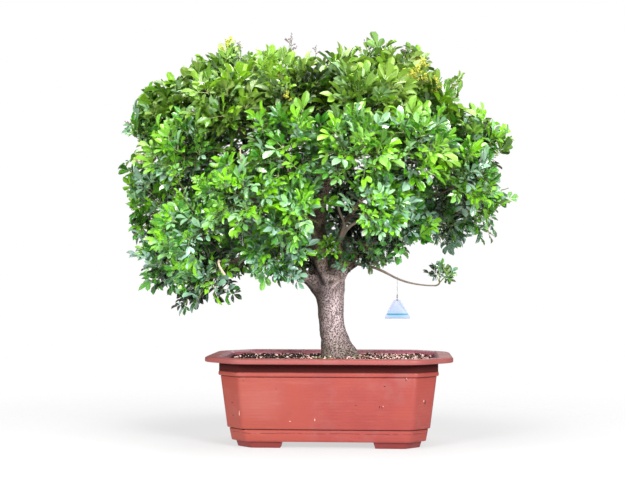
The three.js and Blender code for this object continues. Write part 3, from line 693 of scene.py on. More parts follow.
def tagMaterial():
    material, tree, shader = newMaterial("tagPlastic", roughness=0.32, specular=0.5)
    places = stretched(tree, objectPlaces(tree), (1, 1, 1), tuple(-value for value in tagPlace()))
    split = axesOf(tree, places)
    height = split["Z"]
    colour = mixColours(tree, remap(tree, height, *tagLook["fade"]), linear("#8b9fb8"), linear("#9aa2bb"))
    edge = doMath(tree, "ABSOLUTE", split["X"])
    colour = mixColours(tree, remap(tree, edge, *tagLook["sides"], 0.0, 0.5), colour, linear("#a3a3c4"))
    band = doMath(tree, "ABSOLUTE", minus(tree, height, tagLook["band"]))
    inBand = remap(tree, band, *tagLook["bandHalf"], 1.0, 0.0)
    inBand = times(tree, inBand, remap(tree, edge, *tagLook["bandReach"], 1.0, 0.0))
    colour = mixColours(tree, inBand, colour, linear("#2c8299"))
    tree.links.new(colour, shader.inputs["Base Color"])
    smudge = noiseOf(tree, places, 60.0)
    tree.links.new(remap(tree, smudge, 0.3, 0.7, 0.25, 0.42), shader.inputs["Roughness"])
    return material


def wireMaterial():
    material, tree, shader = newMaterial("drawnWire", roughness=0.4)
    shader.inputs["Metallic"].default_value = 0.85
    places = objectPlaces(tree)
    dull = noiseOf(tree, places, 350.0)
    tree.links.new(mixColours(tree, dull, linear("#7b7c80"), linear("#a5a6aa")), shader.inputs["Base Color"])
    tree.links.new(remap(tree, dull, 0.3, 0.7, 0.3, 0.55), shader.inputs["Roughness"])
    return material


# Pot

pot = {
    # Up the outside, over the lip and down the inside: height, half length, half width, corner cut.
    "levels": [
        (16, 234, 150, 40), (43, 239, 154, 41), (44, 237.4, 152.4, 40), (46, 237.4, 152.4, 40),
        (47, 244, 158, 42), (169.6, 259.6, 171.6, 50), (170.6, 258.2, 170.2, 50), (172, 263.4, 175.4, 51),
        (173.4, 264.6, 176.6, 52), (179.5, 264.6, 176.6, 52), (181, 263.4, 175.4, 52),
        (209.5, 263.4, 175.4, 53), (210, 291, 201, 84), (202.5, 296, 206, 84), (204, 300, 210, 86),
        (212.5, 300, 210, 86), (215.5, 296, 206, 84), (215.5, 267, 179, 54), (210.5, 260, 172, 50),
        (178, 256, 168, 48), (60, 241, 155, 41), (48, 233, 148, 40), (22, 230, 145, 38),
    ],
    "insideFrom": 17,  # the first level that lies inside
    "rounding": 20, "lipRounding": 64,  # radius of the eight upright corners
    "cornerPoints": 7,
    "edgeRadius": 1.3,
    "feet": {"height": 16, "top": (224, 143, 37), "bottom": (219, 138, 35), "rim": 34, "gap": (232, 124),
             "slope": 8, "rounding": 9, "edgeRadius": 1.6},
    "drains": {"radius": 13, "at": (-120, 120)},
}


# A rectangle with cut corners whose eight bends are rounded, anticlockwise from above.
def cutRing(halfLength, halfWidth, cut, rounding):
    a, b, c = halfLength, halfWidth, cut
    corners = [(a, -b + c), (a, b - c), (a - c, b), (-a + c, b),
               (-a, b - c), (-a, -b + c), (-a + c, -b), (a - c, -b)]
    ring = []
    reach = rounding * math.tan(math.radians(22.5))
    for i, corner in enumerate(corners):
        here = Vector(corner)
        before = (Vector(corners[i - 1]) - here).normalized() * reach
        after = (Vector(corners[(i + 1) % 8]) - here).normalized() * reach
        for k in range(pot["cornerPoints"]):
            t = k / (pot["cornerPoints"] - 1)
            ring.append(here + before * (1 - t) ** 2 + after * t ** 2)
    return ring


# Extrudes a ring upwards level by level, as each level's points are set after its extrude.
def loftLevels(name, levels, roundingAt):
    count = 8 * pot["cornerPoints"]
    bpy.ops.mesh.primitive_circle_add(vertices=count, radius=0.2, fill_type="NOTHING")
    thing = added(name)
    editAll()
    bpy.ops.mesh.edge_face_add()
    for _ in levels[1:]:
        bpy.ops.mesh.extrude_region_move(TRANSFORM_OT_translate={"value": (0, 0, 0.01)})
    leaveEdit()
    places = pointsOf(thing)
    # The circle's points go round from its first; each extrude adds its ring in the same order.
    order = np.argsort(np.round(places[:, 2], 4), kind="stable").reshape(len(levels), count)
    for row, (z, *size) in zip(order, levels):
        ring = [spot(p.x, p.y, z) for p in cutRing(*size, roundingAt(size))]
        angles = np.arctan2(places[row, 1], places[row, 0])
        going = row[np.argsort(np.round(angles, 5), kind="stable")]
        turned = np.array([point[:] for point in ring])
        away = np.arctan2(turned[:, 1] - potMiddle.y, turned[:, 0] - potMiddle.x)
        places[going] = turned[np.argsort(away, kind="stable")]
    setPoints(thing, places)
    fixNormals(thing)
    return thing


def potRounding(size):
    return pot["lipRounding"] if size[2] > 80 else pot["rounding"]


def bevelEdges(thing, radius, degrees):
    applyModifier(thing, "BEVEL", width=radius * mm, segments=2, limit_method="ANGLE",
                  angle_limit=math.radians(degrees))


def combine(thing, other, operation="DIFFERENCE"):
    applyModifier(thing, "BOOLEAN", operation=operation, object=other, solver="EXACT")
    remove(other)


def makeFeet():
    feet = pot["feet"]
    levels = [(0, *feet["bottom"]), (feet["height"] + 1, *feet["top"])]
    block = loftLevels("feet", levels, lambda size: feet["rounding"])
    hollow = [2 * (half - feet["rim"]) * mm for half in feet["bottom"][:2]]
    bpy.ops.mesh.primitive_cube_add(size=1, location=spot(0, 0, 0))
    cutter = bpy.context.object
    cutter.scale = (*hollow, 0.1)
    applyPlace(cutter)
    combine(block, cutter)
    for half, turn in ((feet["gap"][0] / 2, 0), (feet["gap"][1] / 2, 90)):
        bpy.ops.mesh.primitive_cube_add(size=1, location=spot(0, 0, 4))
        cutter = bpy.context.object
        cutter.scale = (2 * half * mm, 0.8, 0.028)
        cutter.rotation_euler = (0, 0, math.radians(turn))
        applyPlace(cutter)
        places = pointsOf(cutter)
        axis = 0 if turn == 0 else 1
        centre = spot(0, 0, 0)[axis]
        top = places[:, 2] > 0.01
        places[top, axis] = centre + np.sign(places[top, axis] - centre) * (half - feet["slope"]) * mm
        setPoints(cutter, places)
        combine(block, cutter)
    bevelEdges(block, feet["edgeRadius"], 35)
    return block


def makePot(material):
    shell = loftLevels("pot_shell", pot["levels"], potRounding)
    bevelEdges(shell, pot["edgeRadius"], 28)
    combine(shell, makeFeet(), "UNION")
    for x in pot["drains"]["at"]:
        bpy.ops.mesh.primitive_cylinder_add(vertices=24, radius=pot["drains"]["radius"] * mm, depth=0.06,
                                            location=spot(x, 0, 16))
        cutter = bpy.context.object
        applyPlace(cutter)
        combine(shell, cutter)
    applyPlace(shell)
    places = pointsOf(shell)
    x, y = np.abs(places[:, 0] - potMiddle.x) / mm, np.abs(places[:, 1] - potMiddle.y) / mm
    height = places[:, 2] / mm
    # A point lies inside when it is no further out than the inner wall at its height.
    inner = np.array(sorted(pot["levels"][pot["insideFrom"]:]))
    halfLength, halfWidth, cut = (np.interp(height, inner[:, 0], inner[:, k]) for k in (1, 2, 3))
    overCut = (x + y - halfLength - halfWidth + cut) / math.sqrt(2)
    beyond = np.maximum.reduce([x - halfLength, y - halfWidth, overCut])
    values = {"inside": (beyond < 0.8) & (height > 21), "lip": (beyond > 14) & (height > 202)}
    for name, value in values.items():
        markPoints(shell, name, value)
    smoothByAngle(shell, 32)
    finishPiece(shell, "pot_plastic", material, "pot")


# Soil

soil = {
    "edgeHeight": 201.5, "moundHeight": 11, "cells": (110, 76),
    # The outline follows the inner wall: height, half length, half width, cut.
    "levels": [(201.5, 258.6, 170.6, 49), (178, 255.6, 167.6, 48), (60, 240.6, 154.6, 41),
               (22.4, 229.6, 144.6, 38)],
    "pebbles": 4200, "pebbleSize": (1.5, 4.4), "fromTrunk": 41,
    "shades": (0.0, 0.05, 0.25, 0.45, 0.65, 0.8, 0.9, 1.0),
    "darkGrainShade": 0.04, "darkGrainShare": (0.78, 0.18), "darkGrainFade": (-170, 90),  # most dark grains at the left
    "moss": 260, "mossSize": (1.6, 3.2), "mossFromTrunk": 43, "blades": 0.75,
    # Middle and spread of each patch of moss.
    "mossPatches": [(-26, -34, 20), (-34, -12, 16), (2, -46, 14), (64, -30, 10), (-16, 40, 18), (52, 40, 14)],
}
trunkFoot = (21, 1)


def groundHeight(x, y):
    away = min(1, math.hypot((x - trunkFoot[0]) / 260, y / 172))
    lumps = noise.noise(Vector((x, y, 0)) / 16) * 1.6 + noise.noise(Vector((x, y, 7)) / 5) * 0.8
    rise = 2.5 * noise.noise(Vector((x, y, 3)) / 70) + 3 * smoothStep(0, 140, y)
    return soil["edgeHeight"] + soil["moundHeight"] * (1 - away) ** 1.5 + lumps + rise


def halfLengthAt(y, level):
    _, halfLength, halfWidth, cut = level
    return halfLength - max(0, abs(y) - (halfWidth - cut))


def makeSoil(material):
    nx, ny = soil["cells"]
    bpy.ops.mesh.primitive_grid_add(x_subdivisions=nx, y_subdivisions=ny, size=2)
    ground = added("soil_ground")
    top = soil["levels"][0]
    places = pointsOf(ground)
    for i, (u, v, _) in enumerate(places):
        y = v * top[2]
        x = u * halfLengthAt(y, top)
        places[i] = spot(x, y, groundHeight(x, y))
    setPoints(ground, places)
    # The sides go down along the wall of the pot and close under it.
    pick(ground)
    editAll()
    bpy.ops.mesh.region_to_loop()
    for upper, lower in zip(soil["levels"], soil["levels"][1:]):
        bpy.ops.mesh.extrude_region_move(TRANSFORM_OT_translate={"value": (0, 0, -0.01)})
        leaveEdit()
        places = pointsOf(ground)
        chosen = np.array([vertex.select for vertex in ground.data.vertices])
        places[chosen, 0] = (places[chosen, 0] - potMiddle.x) * lower[1] / upper[1] + potMiddle.x
        places[chosen, 1] = (places[chosen, 1] - potMiddle.y) * lower[2] / upper[2] + potMiddle.y
        places[chosen, 2] = lower[0] * mm
        setPoints(ground, places)
        bpy.ops.object.mode_set(mode="EDIT")
    bpy.ops.mesh.edge_face_add()
    leaveEdit()
    fixNormals(ground)
    smoothByAngle(ground, 50)
    finishPiece(ground, "soil", material, "soil")


# Copies of a few small meshes, gathered in one new mesh. Each copy brings its own values of the attributes.
class Gathered:
    def __init__(self, templates):
        self.templates = templates
        self.points, self.faces, self.maps, self.values, self.start = [], [], [], {}, 0

    def add(self, kind, matrix, **values):
        points, faces, maps = self.templates[kind]
        turned = np.array(matrix.to_3x3()) @ points.T
        self.points.append(turned.T + np.array(matrix.translation))
        self.faces.append(faces + self.start)
        self.maps.append(maps)
        for key, value in values.items():
            self.values.setdefault(key, []).append(np.full(len(points), value, np.float32))
        self.start += len(points)

    def make(self, name, mapName=None):
        points, faces = np.concatenate(self.points), np.concatenate(self.faces)
        mesh = bpy.data.meshes.new(name)
        mesh.vertices.add(len(points))
        mesh.vertices.foreach_set("co", points.astype(np.float32).ravel())
        mesh.loops.add(faces.size)
        mesh.loops.foreach_set("vertex_index", faces.astype(np.int32).ravel())
        mesh.polygons.add(len(faces))
        mesh.polygons.foreach_set("loop_start", np.arange(0, faces.size, 3, dtype=np.int32))
        mesh.update(calc_edges=True)
        thing = addThing(name, mesh)
        for key, parts in self.values.items():
            markPoints(thing, key, np.concatenate(parts))
        if mapName:
            layer = mesh.uv_layers.new(name=mapName)
            layer.data.foreach_set("uv", np.concatenate(self.maps).astype(np.float32).ravel())
        return thing


# The points, the triangles and the map of a small mesh. Triangles only, so that copies stay cheap.
def readTemplate(thing):
    applyModifier(thing, "TRIANGULATE")
    mesh = thing.data
    faces = np.empty(len(mesh.polygons) * 3, np.int32)
    mesh.polygons.foreach_get("vertices", faces)
    maps = np.zeros(len(faces) * 2)
    if mesh.uv_layers:
        mesh.uv_layers[0].data.foreach_get("uv", maps)
    result = (pointsOf(thing), faces.reshape(-1, 3), maps.reshape(-1, 2))
    remove(thing)
    return result


def pebble(name, seed, flat):
    bpy.ops.mesh.primitive_ico_sphere_add(subdivisions=1, radius=1)
    thing = added(name)
    draw = random.Random(seed)
    places = pointsOf(thing)
    places *= np.array([[draw.uniform(0.7, 1.15)] for _ in places])
    places[:, 2] *= flat
    setPoints(thing, places)
    return thing


def tuftTemplate():
    bpy.ops.mesh.primitive_cone_add(vertices=3, radius1=0.35, radius2=0, depth=1.6, location=(0, 0, 0.6))
    thing = added("mossBlade")
    applyPlace(thing)
    return thing


def turnFrom(draw):
    return Matrix.Rotation(draw.uniform(0, 2 * math.pi), 4, (draw.uniform(-1, 1), draw.uniform(-1, 1), 1.2))


def fromTrunk(x, y):
    return math.hypot(x - trunkFoot[0], y - trunkFoot[1])


def makeGrains(material, mossLook):
    draw, darkGrainDraw = random.Random(5), random.Random(6)
    shapes = [pebble("roundGrain", 1, 0.75), pebble("flatGrain", 2, 0.55), pebble("longGrain", 3, 0.8)]
    grains = Gathered([readTemplate(thing) for thing in shapes])
    top = soil["levels"][0]
    for i in range(soil["pebbles"]):
        y = draw.uniform(-1, 1) * (top[2] - 3)
        x = draw.uniform(-1, 1) * (halfLengthAt(y, top) - 3)
        if fromTrunk(x, y) < soil["fromTrunk"]:
            continue
        low, high = soil["pebbleSize"]
        size = low + (high - low) * draw.random() ** 2.2
        shade = draw.choice(soil["shades"]) + draw.uniform(-0.06, 0.06)
        if darkGrainDraw.random() < blendTo(*soil["darkGrainShare"], smoothStep(*soil["darkGrainFade"], x)):
            shade = soil["darkGrainShade"]
        stretch = Matrix.Diagonal((size * mm, size * mm * draw.uniform(0.7, 1), size * mm, 1))
        matrix = Matrix.Translation(spot(x, y, groundHeight(x, y) + size * 0.25)) @ turnFrom(draw) @ stretch
        grains.add(i % 3, matrix, shade=max(0, shade))
    made = grains.make("soil_grains")
    smoothByAngle(made, 20)
    finishPiece(made, "soil", material)
    moss = Gathered([readTemplate(thing) for thing in (tuftTemplate(), pebble("mossCushion", 9, 0.5))])
    for x0, y0, spread in soil["mossPatches"]:
        for _ in range(soil["moss"] // len(soil["mossPatches"])):
            x, y = draw.gauss(x0, spread / 2), draw.gauss(y0, spread / 2)
            if fromTrunk(x, y) < soil["mossFromTrunk"]:
                continue
            kind = 0 if draw.random() < soil["blades"] else 1
            size = draw.uniform(*soil["mossSize"]) * mm
            lean = Matrix.Rotation(draw.uniform(-0.5, 0.5), 4, "X")
            lean @= Matrix.Rotation(draw.uniform(-0.5, 0.5), 4, "Y")
            moss.add(kind, Matrix.Translation(spot(x, y, groundHeight(x, y))) @ lean @ Matrix.Scale(size, 4))
    finishPiece(moss.make("moss"), "soil", mossLook)


# Wood

trunk = {
    # From the buried foot to the fork, with the radius at each point.
    "line": [(22, 2, 180, 43), (21, 2, 194.5, 44), (20, 2, 211.5, 47), (17, 1, 224.5, 42), (12, 0, 246, 36.5),
             (6, 0, 273, 33), (1, 0, 310, 32), (-1, 0, 350, 34), (-3, 0, 378, 39), (-3, 0, 404, 38),
             (0, 0, 424, 22)],
    "lobes": 5, "relief": 0.1, "fade": 24,
    "voxel": 2.4, "keep": 0.46,
    "scar": (2, 394), "scarSize": (10, 7), "scarDepth": 3.4, "scarLip": 1.6,
    # The fold of the bark between the left limb and the leader.
    "crease": [(-46, 446), (-32, 420), (-18, 392)], "creaseWidth": 5, "creaseDepth": 6,
    "webs": [[(-30, 4, 392), (-42, 8, 420), (-52, 12, 446)], [(0, 8, 404), (4, 12, 432), (8, 16, 456)]],
    "stub": (62, 438, 17),  # end of an old limb on the right, painted dark as shade: x, z and radius
    "elbow": [(14, 6, 378), (33, 4, 424), (62, 0, 444)], "elbowRadii": [13, 14, 14.5, 14, 13, 12, 11],
    "webRadii": [12, 12, 11, 10, 9, 8, 7], "rootTurn": 0.6,
    # Unevenness of the bark: name, size in metres, depth and height.
    "clouds": [("woodLumps", 0.028, 3, 4.2), ("woodRidges", 0.006, 2, 1.5)],
}

# Each limb is a line with its first and last radius, and the sprays that it carries: the middle of each spray
# and how far its leaves reach.
limbs = {
    "left_low": {
        "line": [(-8, -6, 350), (-58, -16, 406), (-130, -38, 436), (-210, -52, 448), (-275, -58, 446)],
        "radius": (21, 6),
        "sprays": [(-128, -116, 478, 98), (-238, 134, 484, 104), (-300, -92, 404, 98), (-322, -190, 512, 106),
                   (-406, -20, 452, 104)],
    },
    "left_mid": {
        "line": [(-20, -8, 425), (-80, 6, 520), (-170, 16, 590), (-255, 18, 636), (-315, 18, 660)],
        "radius": (14, 6),
        "sprays": [(-338, 168, 590, 108), (-330, -190, 690, 112), (-444, 16, 592, 116), (-330, 178, 745, 112),
                   (-446, 6, 746, 124)],
    },
    "left_top": {
        "line": [(-25, -12, 520), (-62, 0, 612), (-130, 2, 700), (-200, 2, 762), (-245, 2, 790)],
        "radius": (12, 5),
        "sprays": [(-205, 265, 665, 110), (-240, -178, 800, 110), (-180, 172, 825, 110),
                   (-268, -14, 884, 113),
                   (-378, 6, 846, 104)],
    },
    "leader": {
        "line": [(0, -4, 360), (-22, -12, 430), (-26, -14, 520), (-20, -8, 620), (-18, 0, 720),
                 (-26, 4, 785)],
        "radius": (22, 6),
        "sprays": [(6, -90, 470, 54), (-72, -168, 826, 108), (-20, 186, 826, 108), (30, -22, 868, 107),
                   (-120, 14, 888, 113)],
    },
    "right_top": {
        "line": [(-20, -8, 600), (18, 0, 682), (80, 4, 742), (150, 4, 782)],
        "radius": (10, 5),
        "sprays": [(92, -182, 806, 108), (138, 184, 796, 108), (252, 14, 812, 104), (160, 4, 886, 112)],
    },
    "right_mid": {
        "line": [(6, 4, 390), (42, 14, 444), (106, 10, 500), (190, 4, 570), (255, 2, 622)],
        "radius": (17, 6),
        "sprays": [(180, -84, 524, 104), (285, 132, 552, 98), (275, 162, 700, 108), (330, -158, 640, 106),
                   (368, 6, 580, 114), (378, -4, 724, 120)],
    },
    "front_left": {
        "line": [(-24, -14, 470), (-44, -66, 525), (-82, -130, 590), (-108, -172, 625)],
        "radius": (10, 5),
        "sprays": [(-62, -232, 560, 100), (-196, -268, 592, 112), (-92, -272, 704, 112)],
    },
    "front_right": {
        "line": [(34, 6, 420), (24, -26, 492), (34, -46, 535), (57, -78, 565), (84, -118, 600),
                 (104, -158, 636)],
        "radius": (9, 5),
        "sprays": [(118, -238, 566, 96), (74, -284, 694, 112), (214, -234, 700, 112)],
    },
    "back_left": {
        "line": [(-20, 0, 440), (-40, 58, 512), (-66, 120, 570), (-76, 160, 606)],
        "radius": (12, 5),
        "sprays": [(-90, 232, 530, 104), (-36, 290, 668, 110)],
    },
    "back_right": {
        "line": [(8, 4, 405), (30, 66, 480), (56, 130, 545), (78, 168, 588)],
        "radius": (13, 5),
        "sprays": [(76, 196, 500, 98), (140, 272, 640, 108)],
    },
    "tag_twig": {
        "line": [(34, 0, 436), (60, -6, 440), (105, -12, 432), (130, -16, 422), (170, -20, 402),
                 (202, -22, 392),
                 (237, -22, 387), (262, -22, 386)],
        "radius": (5.2, 1.8),
        "sprays": [(272, -22, 400, 48)],
    },
}
cutTwig = {"line": [(-258, -57, 448), (-268, -66, 430), (-270, -68, 411)], "radius": (4, 3.4)}
# A branch leaves its limb at a share of its length and ends inside the core of its spray.
branch = {"firstAt": 0.42, "startShare": 0.6, "tipRadius": 2.2, "bow": 0.3, "seatDepth": 0.62,
          "coreShare": 0.34, "tuftCoreShare": 0.26, "lift": 0.35, "steps": 8}
crownHeart = Vector((-30, 0, 545))
tuftAxes = {"spray_leader_1": (0, -1, 0.9), "spray_tag_twig_1": (0.25, 0, 0.9)}


# A smooth line through points, resampled at even steps. The points may carry a fourth value.
def smoothLine(points, steps):
    line = [np.array(point, float) for point in points]
    line = [2 * line[0] - line[1], *line, 2 * line[-1] - line[-2]]
    dense = []
    for p0, p1, p2, p3 in zip(line, line[1:], line[2:], line[3:]):
        gaps = [math.sqrt(np.linalg.norm((b - a)[:3])) for a, b in ((p0, p1), (p1, p2), (p2, p3))]
        start = (p1 - p0) / gaps[0] - (p2 - p0) / (gaps[0] + gaps[1]) + (p2 - p1) / gaps[1]
        end = (p2 - p1) / gaps[1] - (p3 - p1) / (gaps[1] + gaps[2]) + (p3 - p2) / gaps[2]
        start, end = start * gaps[1], end * gaps[1]
        for k in range(24):
            t = k / 24
            dense.append((2 * t ** 3 - 3 * t ** 2 + 1) * p1 + (t ** 3 - 2 * t ** 2 + t) * start
                         + (3 * t ** 2 - 2 * t ** 3) * p2 + (t ** 3 - t ** 2) * end)
    dense = np.array([*dense, line[-2]])
    lengths = np.concatenate([[0], np.cumsum(np.linalg.norm(np.diff(dense[:, :3], axis=0), axis=1))])
    wanted = np.linspace(0, lengths[-1], steps + 1)
    return np.stack([np.interp(wanted, lengths, column) for column in dense.T], axis=1)


def radiiAlong(first, last, steps):
    return [blendTo(first, last, i / steps) for i in range(steps + 1)]


def limbRadius(radius, along):
    return blendTo(radius[0], radius[1], along ** 0.8)


# Tubes along lines of millimetre points with a radius at each, drawn as curves and turned into one mesh.
def drawTubes(name, lines, roundness):
    curve = bpy.data.curves.new(name, "CURVE")
    curve.dimensions = "3D"
    curve.bevel_depth = mm
    curve.bevel_resolution = roundness
    curve.use_fill_caps = True
    for points, radii in lines:
        spline = curve.splines.new("POLY")
        spline.points.add(len(points) - 1)
        for point, place, radius in zip(spline.points, points, radii):
            point.co = (*spot(*place), 1)
            point.radius = radius
    pick(addThing(name, curve))
    bpy.ops.object.convert(target="MESH")
    return bpy.context.object


def bezier(a, b, c, d, steps):
    places = []
    for i in range(steps + 1):
        t = i / steps
        places.append(a * (1 - t) ** 3 + b * 3 * t * (1 - t) ** 2 + c * 3 * t * t * (1 - t) + d * t ** 3)
    return places


# Every spray, with its axis, the foot where its branch ends, and that branch.
def planSprays():
    planned = []
    for limbName, limb in limbs.items():
        line = smoothLine(limb["line"], 60)
        last = len(limb["sprays"]) - 1
        for i, (x, y, z, reach) in enumerate(limb["sprays"]):
            name = f"spray_{limbName}_{i + 1}"
            middle = Vector((x, y, z))
            isTuft = name in tuftAxes
            away = (middle - crownHeart).normalized() + upward * branch["lift"]
            axis = (Vector(tuftAxes[name]) if isTuft else away).normalized()
            core = reach * branch["tuftCoreShare" if isTuft else "coreShare"]
            seat = middle - axis * (branch["seatDepth"] * core)
            along = 1.0 if last == 0 else blendTo(branch["firstAt"], 1.0, i / last)
            k = min(59, int(along * 60))
            start = Vector(line[k])
            heading = Vector(line[k + 1] - line[k]).normalized()
            span = (seat - start).length
            bow = branch["bow"]
            out, back = start + heading * span * bow, seat - axis * span * bow
            curve = bezier(start, out, back, seat, branch["steps"])
            first = max(branch["tipRadius"], limbRadius(limb["radius"], along) * branch["startShare"])
            planned.append({"name": name, "limb": limbName, "middle": middle, "axis": axis, "reach": reach,
                            "seat": seat, "curve": curve, "first": first, "isTuft": isTuft})
    return planned


def makeWood(material):
    trunkLine = smoothLine(trunk["line"], 48)
    trunkTube = drawTubes("trunk_and_limbs", [(trunkLine[:, :3], trunkLine[:, 3])], 10)
    places = pointsOf(trunkTube)
    foot = spot(*trunk["line"][2][:3])
    for i, place in enumerate(places):
        near = math.exp(-(((place[2] - foot.z) / mm / trunk["fade"]) ** 2))
        angle = math.atan2(place[1] - foot.y, place[0] - foot.x)
        swell = trunk["relief"] * near * math.cos(trunk["lobes"] * angle + trunk["rootTurn"])
        places[i, 0] += (place[0] - foot.x) * swell
        places[i, 1] += (place[1] - foot.y) * swell
    setPoints(trunkTube, places)
    lines = []
    for name, limb in limbs.items():
        if name != "tag_twig":
            points = smoothLine(limb["line"], 30)
            lines.append((points, [limbRadius(limb["radius"], i / 30) for i in range(31)]))
    lines.append((smoothLine(trunk["elbow"], 6), trunk["elbowRadii"]))
    for web in trunk["webs"]:
        lines.append((smoothLine(web, 6), trunk["webRadii"]))
    tubes = drawTubes("limbTubes", lines, 4)
    wood = joinInto(trunkTube, [tubes])
    applyModifier(wood, "REMESH", mode="VOXEL", voxel_size=trunk["voxel"] * mm)
    applyModifier(wood, "SMOOTH", iterations=6, factor=0.5)
    for clouds in trunk["clouds"]:
        roughen(wood, *clouds)
    pressMarks(wood)
    applyModifier(wood, "DECIMATE", ratio=trunk["keep"])
    colourMarks(wood)
    smoothByAngle(wood, 60)
    finishPiece(wood, "bark", material, "trunk_and_branches")


# How far each point is from the scar and from the crease, as seen from the front, and whether it is in front.
def forkMarks(places):
    x, z = (places[:, 0] - potMiddle.x) / mm, places[:, 2] / mm
    wide, tall = trunk["scarSize"]
    fromScar = np.sqrt(((x - trunk["scar"][0]) / wide) ** 2 + ((z - trunk["scar"][1]) / tall) ** 2)
    fromCrease = np.full(len(places), 99.0)
    for (x0, z0), (x1, z1) in zip(trunk["crease"], trunk["crease"][1:]):
        along = (x - x0) * (x1 - x0) + (z - z0) * (z1 - z0)
        share = np.clip(along / ((x1 - x0) ** 2 + (z1 - z0) ** 2), 0, 1)
        away = np.hypot(x - x0 - share * (x1 - x0), z - z0 - share * (z1 - z0)) / trunk["creaseWidth"]
        fromCrease = np.minimum(fromCrease, away)
    return fromScar, fromCrease, (places[:, 1] < potMiddle.y) & (places[:, 1] > potMiddle.y - 0.06)


# The old pruning scar on the front is a hollow with a raised lip, and the bark folds in beside the leader.
def pressMarks(wood):
    places = pointsOf(wood)
    fromScar, fromCrease, front = forkMarks(places)
    push = np.where(fromScar < 1, trunk["scarDepth"] * (1 - fromScar ** 2), 0)
    push -= trunk["scarLip"] * np.exp(-(((fromScar - 1.15) / 0.28) ** 2))
    push += trunk["creaseDepth"] * np.exp(-(fromCrease ** 2))
    places[:, 1] += np.where(front, push * mm, 0)
    setPoints(wood, places)


# The scar is painted dark, and the crease and the stub's end get painted shade.
def colourMarks(wood):
    fromScar, fromCrease, front = forkMarks(pointsOf(wood))
    dark = np.maximum(np.clip(1.25 - fromScar, 0, 1), np.exp(-((fromCrease / 1.2) ** 2)))
    places = pointsOf(wood)
    x, z, radius = trunk["stub"]
    fromStub = np.hypot((places[:, 0] - potMiddle.x) / mm - x, places[:, 2] / mm - z) / radius
    dark = np.maximum(dark, 0.8 * np.exp(-(fromStub ** 4)))
    markPoints(wood, "scar", front * dark)


# Twigs that show bare among the leaves, pale where the bark is young.
bareTwigs = [
    ([(-262, -150, 580), (-278, -204, 604), (-306, -224, 640), (-328, -222, 661)], (2.6, 1.5), 1.0),
    ([(-196, -190, 590), (-210, -240, 612), (-230, -256, 634), (-243, -250, 649)], (2.6, 1.5), 1.0),
    ([(-170, -220, 620), (-184, -276, 648), (-189, -298, 676), (-191, -292, 702)], (2.6, 1.5), 0.9),
    ([(-257, -150, 445), (-254, -196, 444), (-252, -203, 436), (-245, -205, 424), (-237, -204, 412)],
     (2.5, 2.7), 1.0),
    ([(37, -54, 540), (61, -74, 567), (82, -92, 596), (102, -100, 620)], (4.2, 2.8), 1.0),
    ([(22, -34, 478), (25, -46, 500), (37, -56, 540), (27, -64, 563), (20, -70, 590)], (4.6, 2.4), 1.0),
    ([(30, -40, 505), (46, -52, 528), (72, -62, 546), (104, -70, 566)], (4.4, 2.8), 1.0),
    ([(96, -14, 436), (118, -30, 446), (140, -44, 462)], (2.6, 1.2), 0.3),
]


def makeTwigs(planned, shootLines, material):
    tip, steps = branch["tipRadius"], branch["steps"]
    lines = [(plan["curve"], radiiAlong(plan["first"], tip, steps)) for plan in planned]
    twig = limbs["tag_twig"]
    lines.append((smoothLine(twig["line"], 36), [limbRadius(twig["radius"], i / 36) for i in range(37)]))
    lines.append((smoothLine(cutTwig["line"], 6), radiiAlong(*cutTwig["radius"], 6)))
    tones = [(0.0, 0.1)] * (len(lines) - 2) + [(0.0, 0.15), (0.0, 1.0)]
    for points, radius, pale in bareTwigs:
        lines.append((smoothLine(points, 10), radiiAlong(*radius, 10)))
        tones.append((0.0, pale))
    twigs = markedTubes("branches_and_twigs", lines, 1, tones)
    roughen(twigs, "twigLumps", 0.012, 2, 0.9)
    smoothByAngle(twigs, 50)
    finishPiece(twigs, "bark", material)
    shoots = markedTubes("leafy_shoots", shootLines, 0, [(1.0, 0.0)] * len(shootLines))
    smoothByAngle(shoots, 80)
    finishPiece(shoots, "bark", material)


# One object of tubes, in which each line has its own share of green and of pale.
def markedTubes(name, lines, roundness, tones):
    pieces = []
    for tone in sorted(set(tones)):
        piece = drawTubes(name, [line for line, own in zip(lines, tones) if own == tone], roundness)
        for key, value in zip(("green", "pale"), tone):
            markPoints(piece, key, np.full(len(piece.data.vertices), value))
        pieces.append(piece)
    return joinInto(pieces[0], pieces[1:])


def roughen(thing, name, size, depth, height):
    clouds = bpy.data.textures.new(name, "CLOUDS")
    clouds.noise_scale = size
    clouds.noise_depth = depth
    applyModifier(thing, "DISPLACE", texture=clouds, texture_coords="LOCAL", strength=height * mm,
                  mid_level=0.5)


# Leaves

leaflet = {
    # Along the blade, and half its width there: round-tipped, and pointed.
    "blunt": [(0, 0), (0.3, 0.25), (0.62, 0.48), (0.88, 0.4), (1, 0)],
    "pointed": [(0, 0), (0.26, 0.32), (0.54, 0.48), (0.8, 0.32), (1, 0)],
    "thickness": 0.018,
}
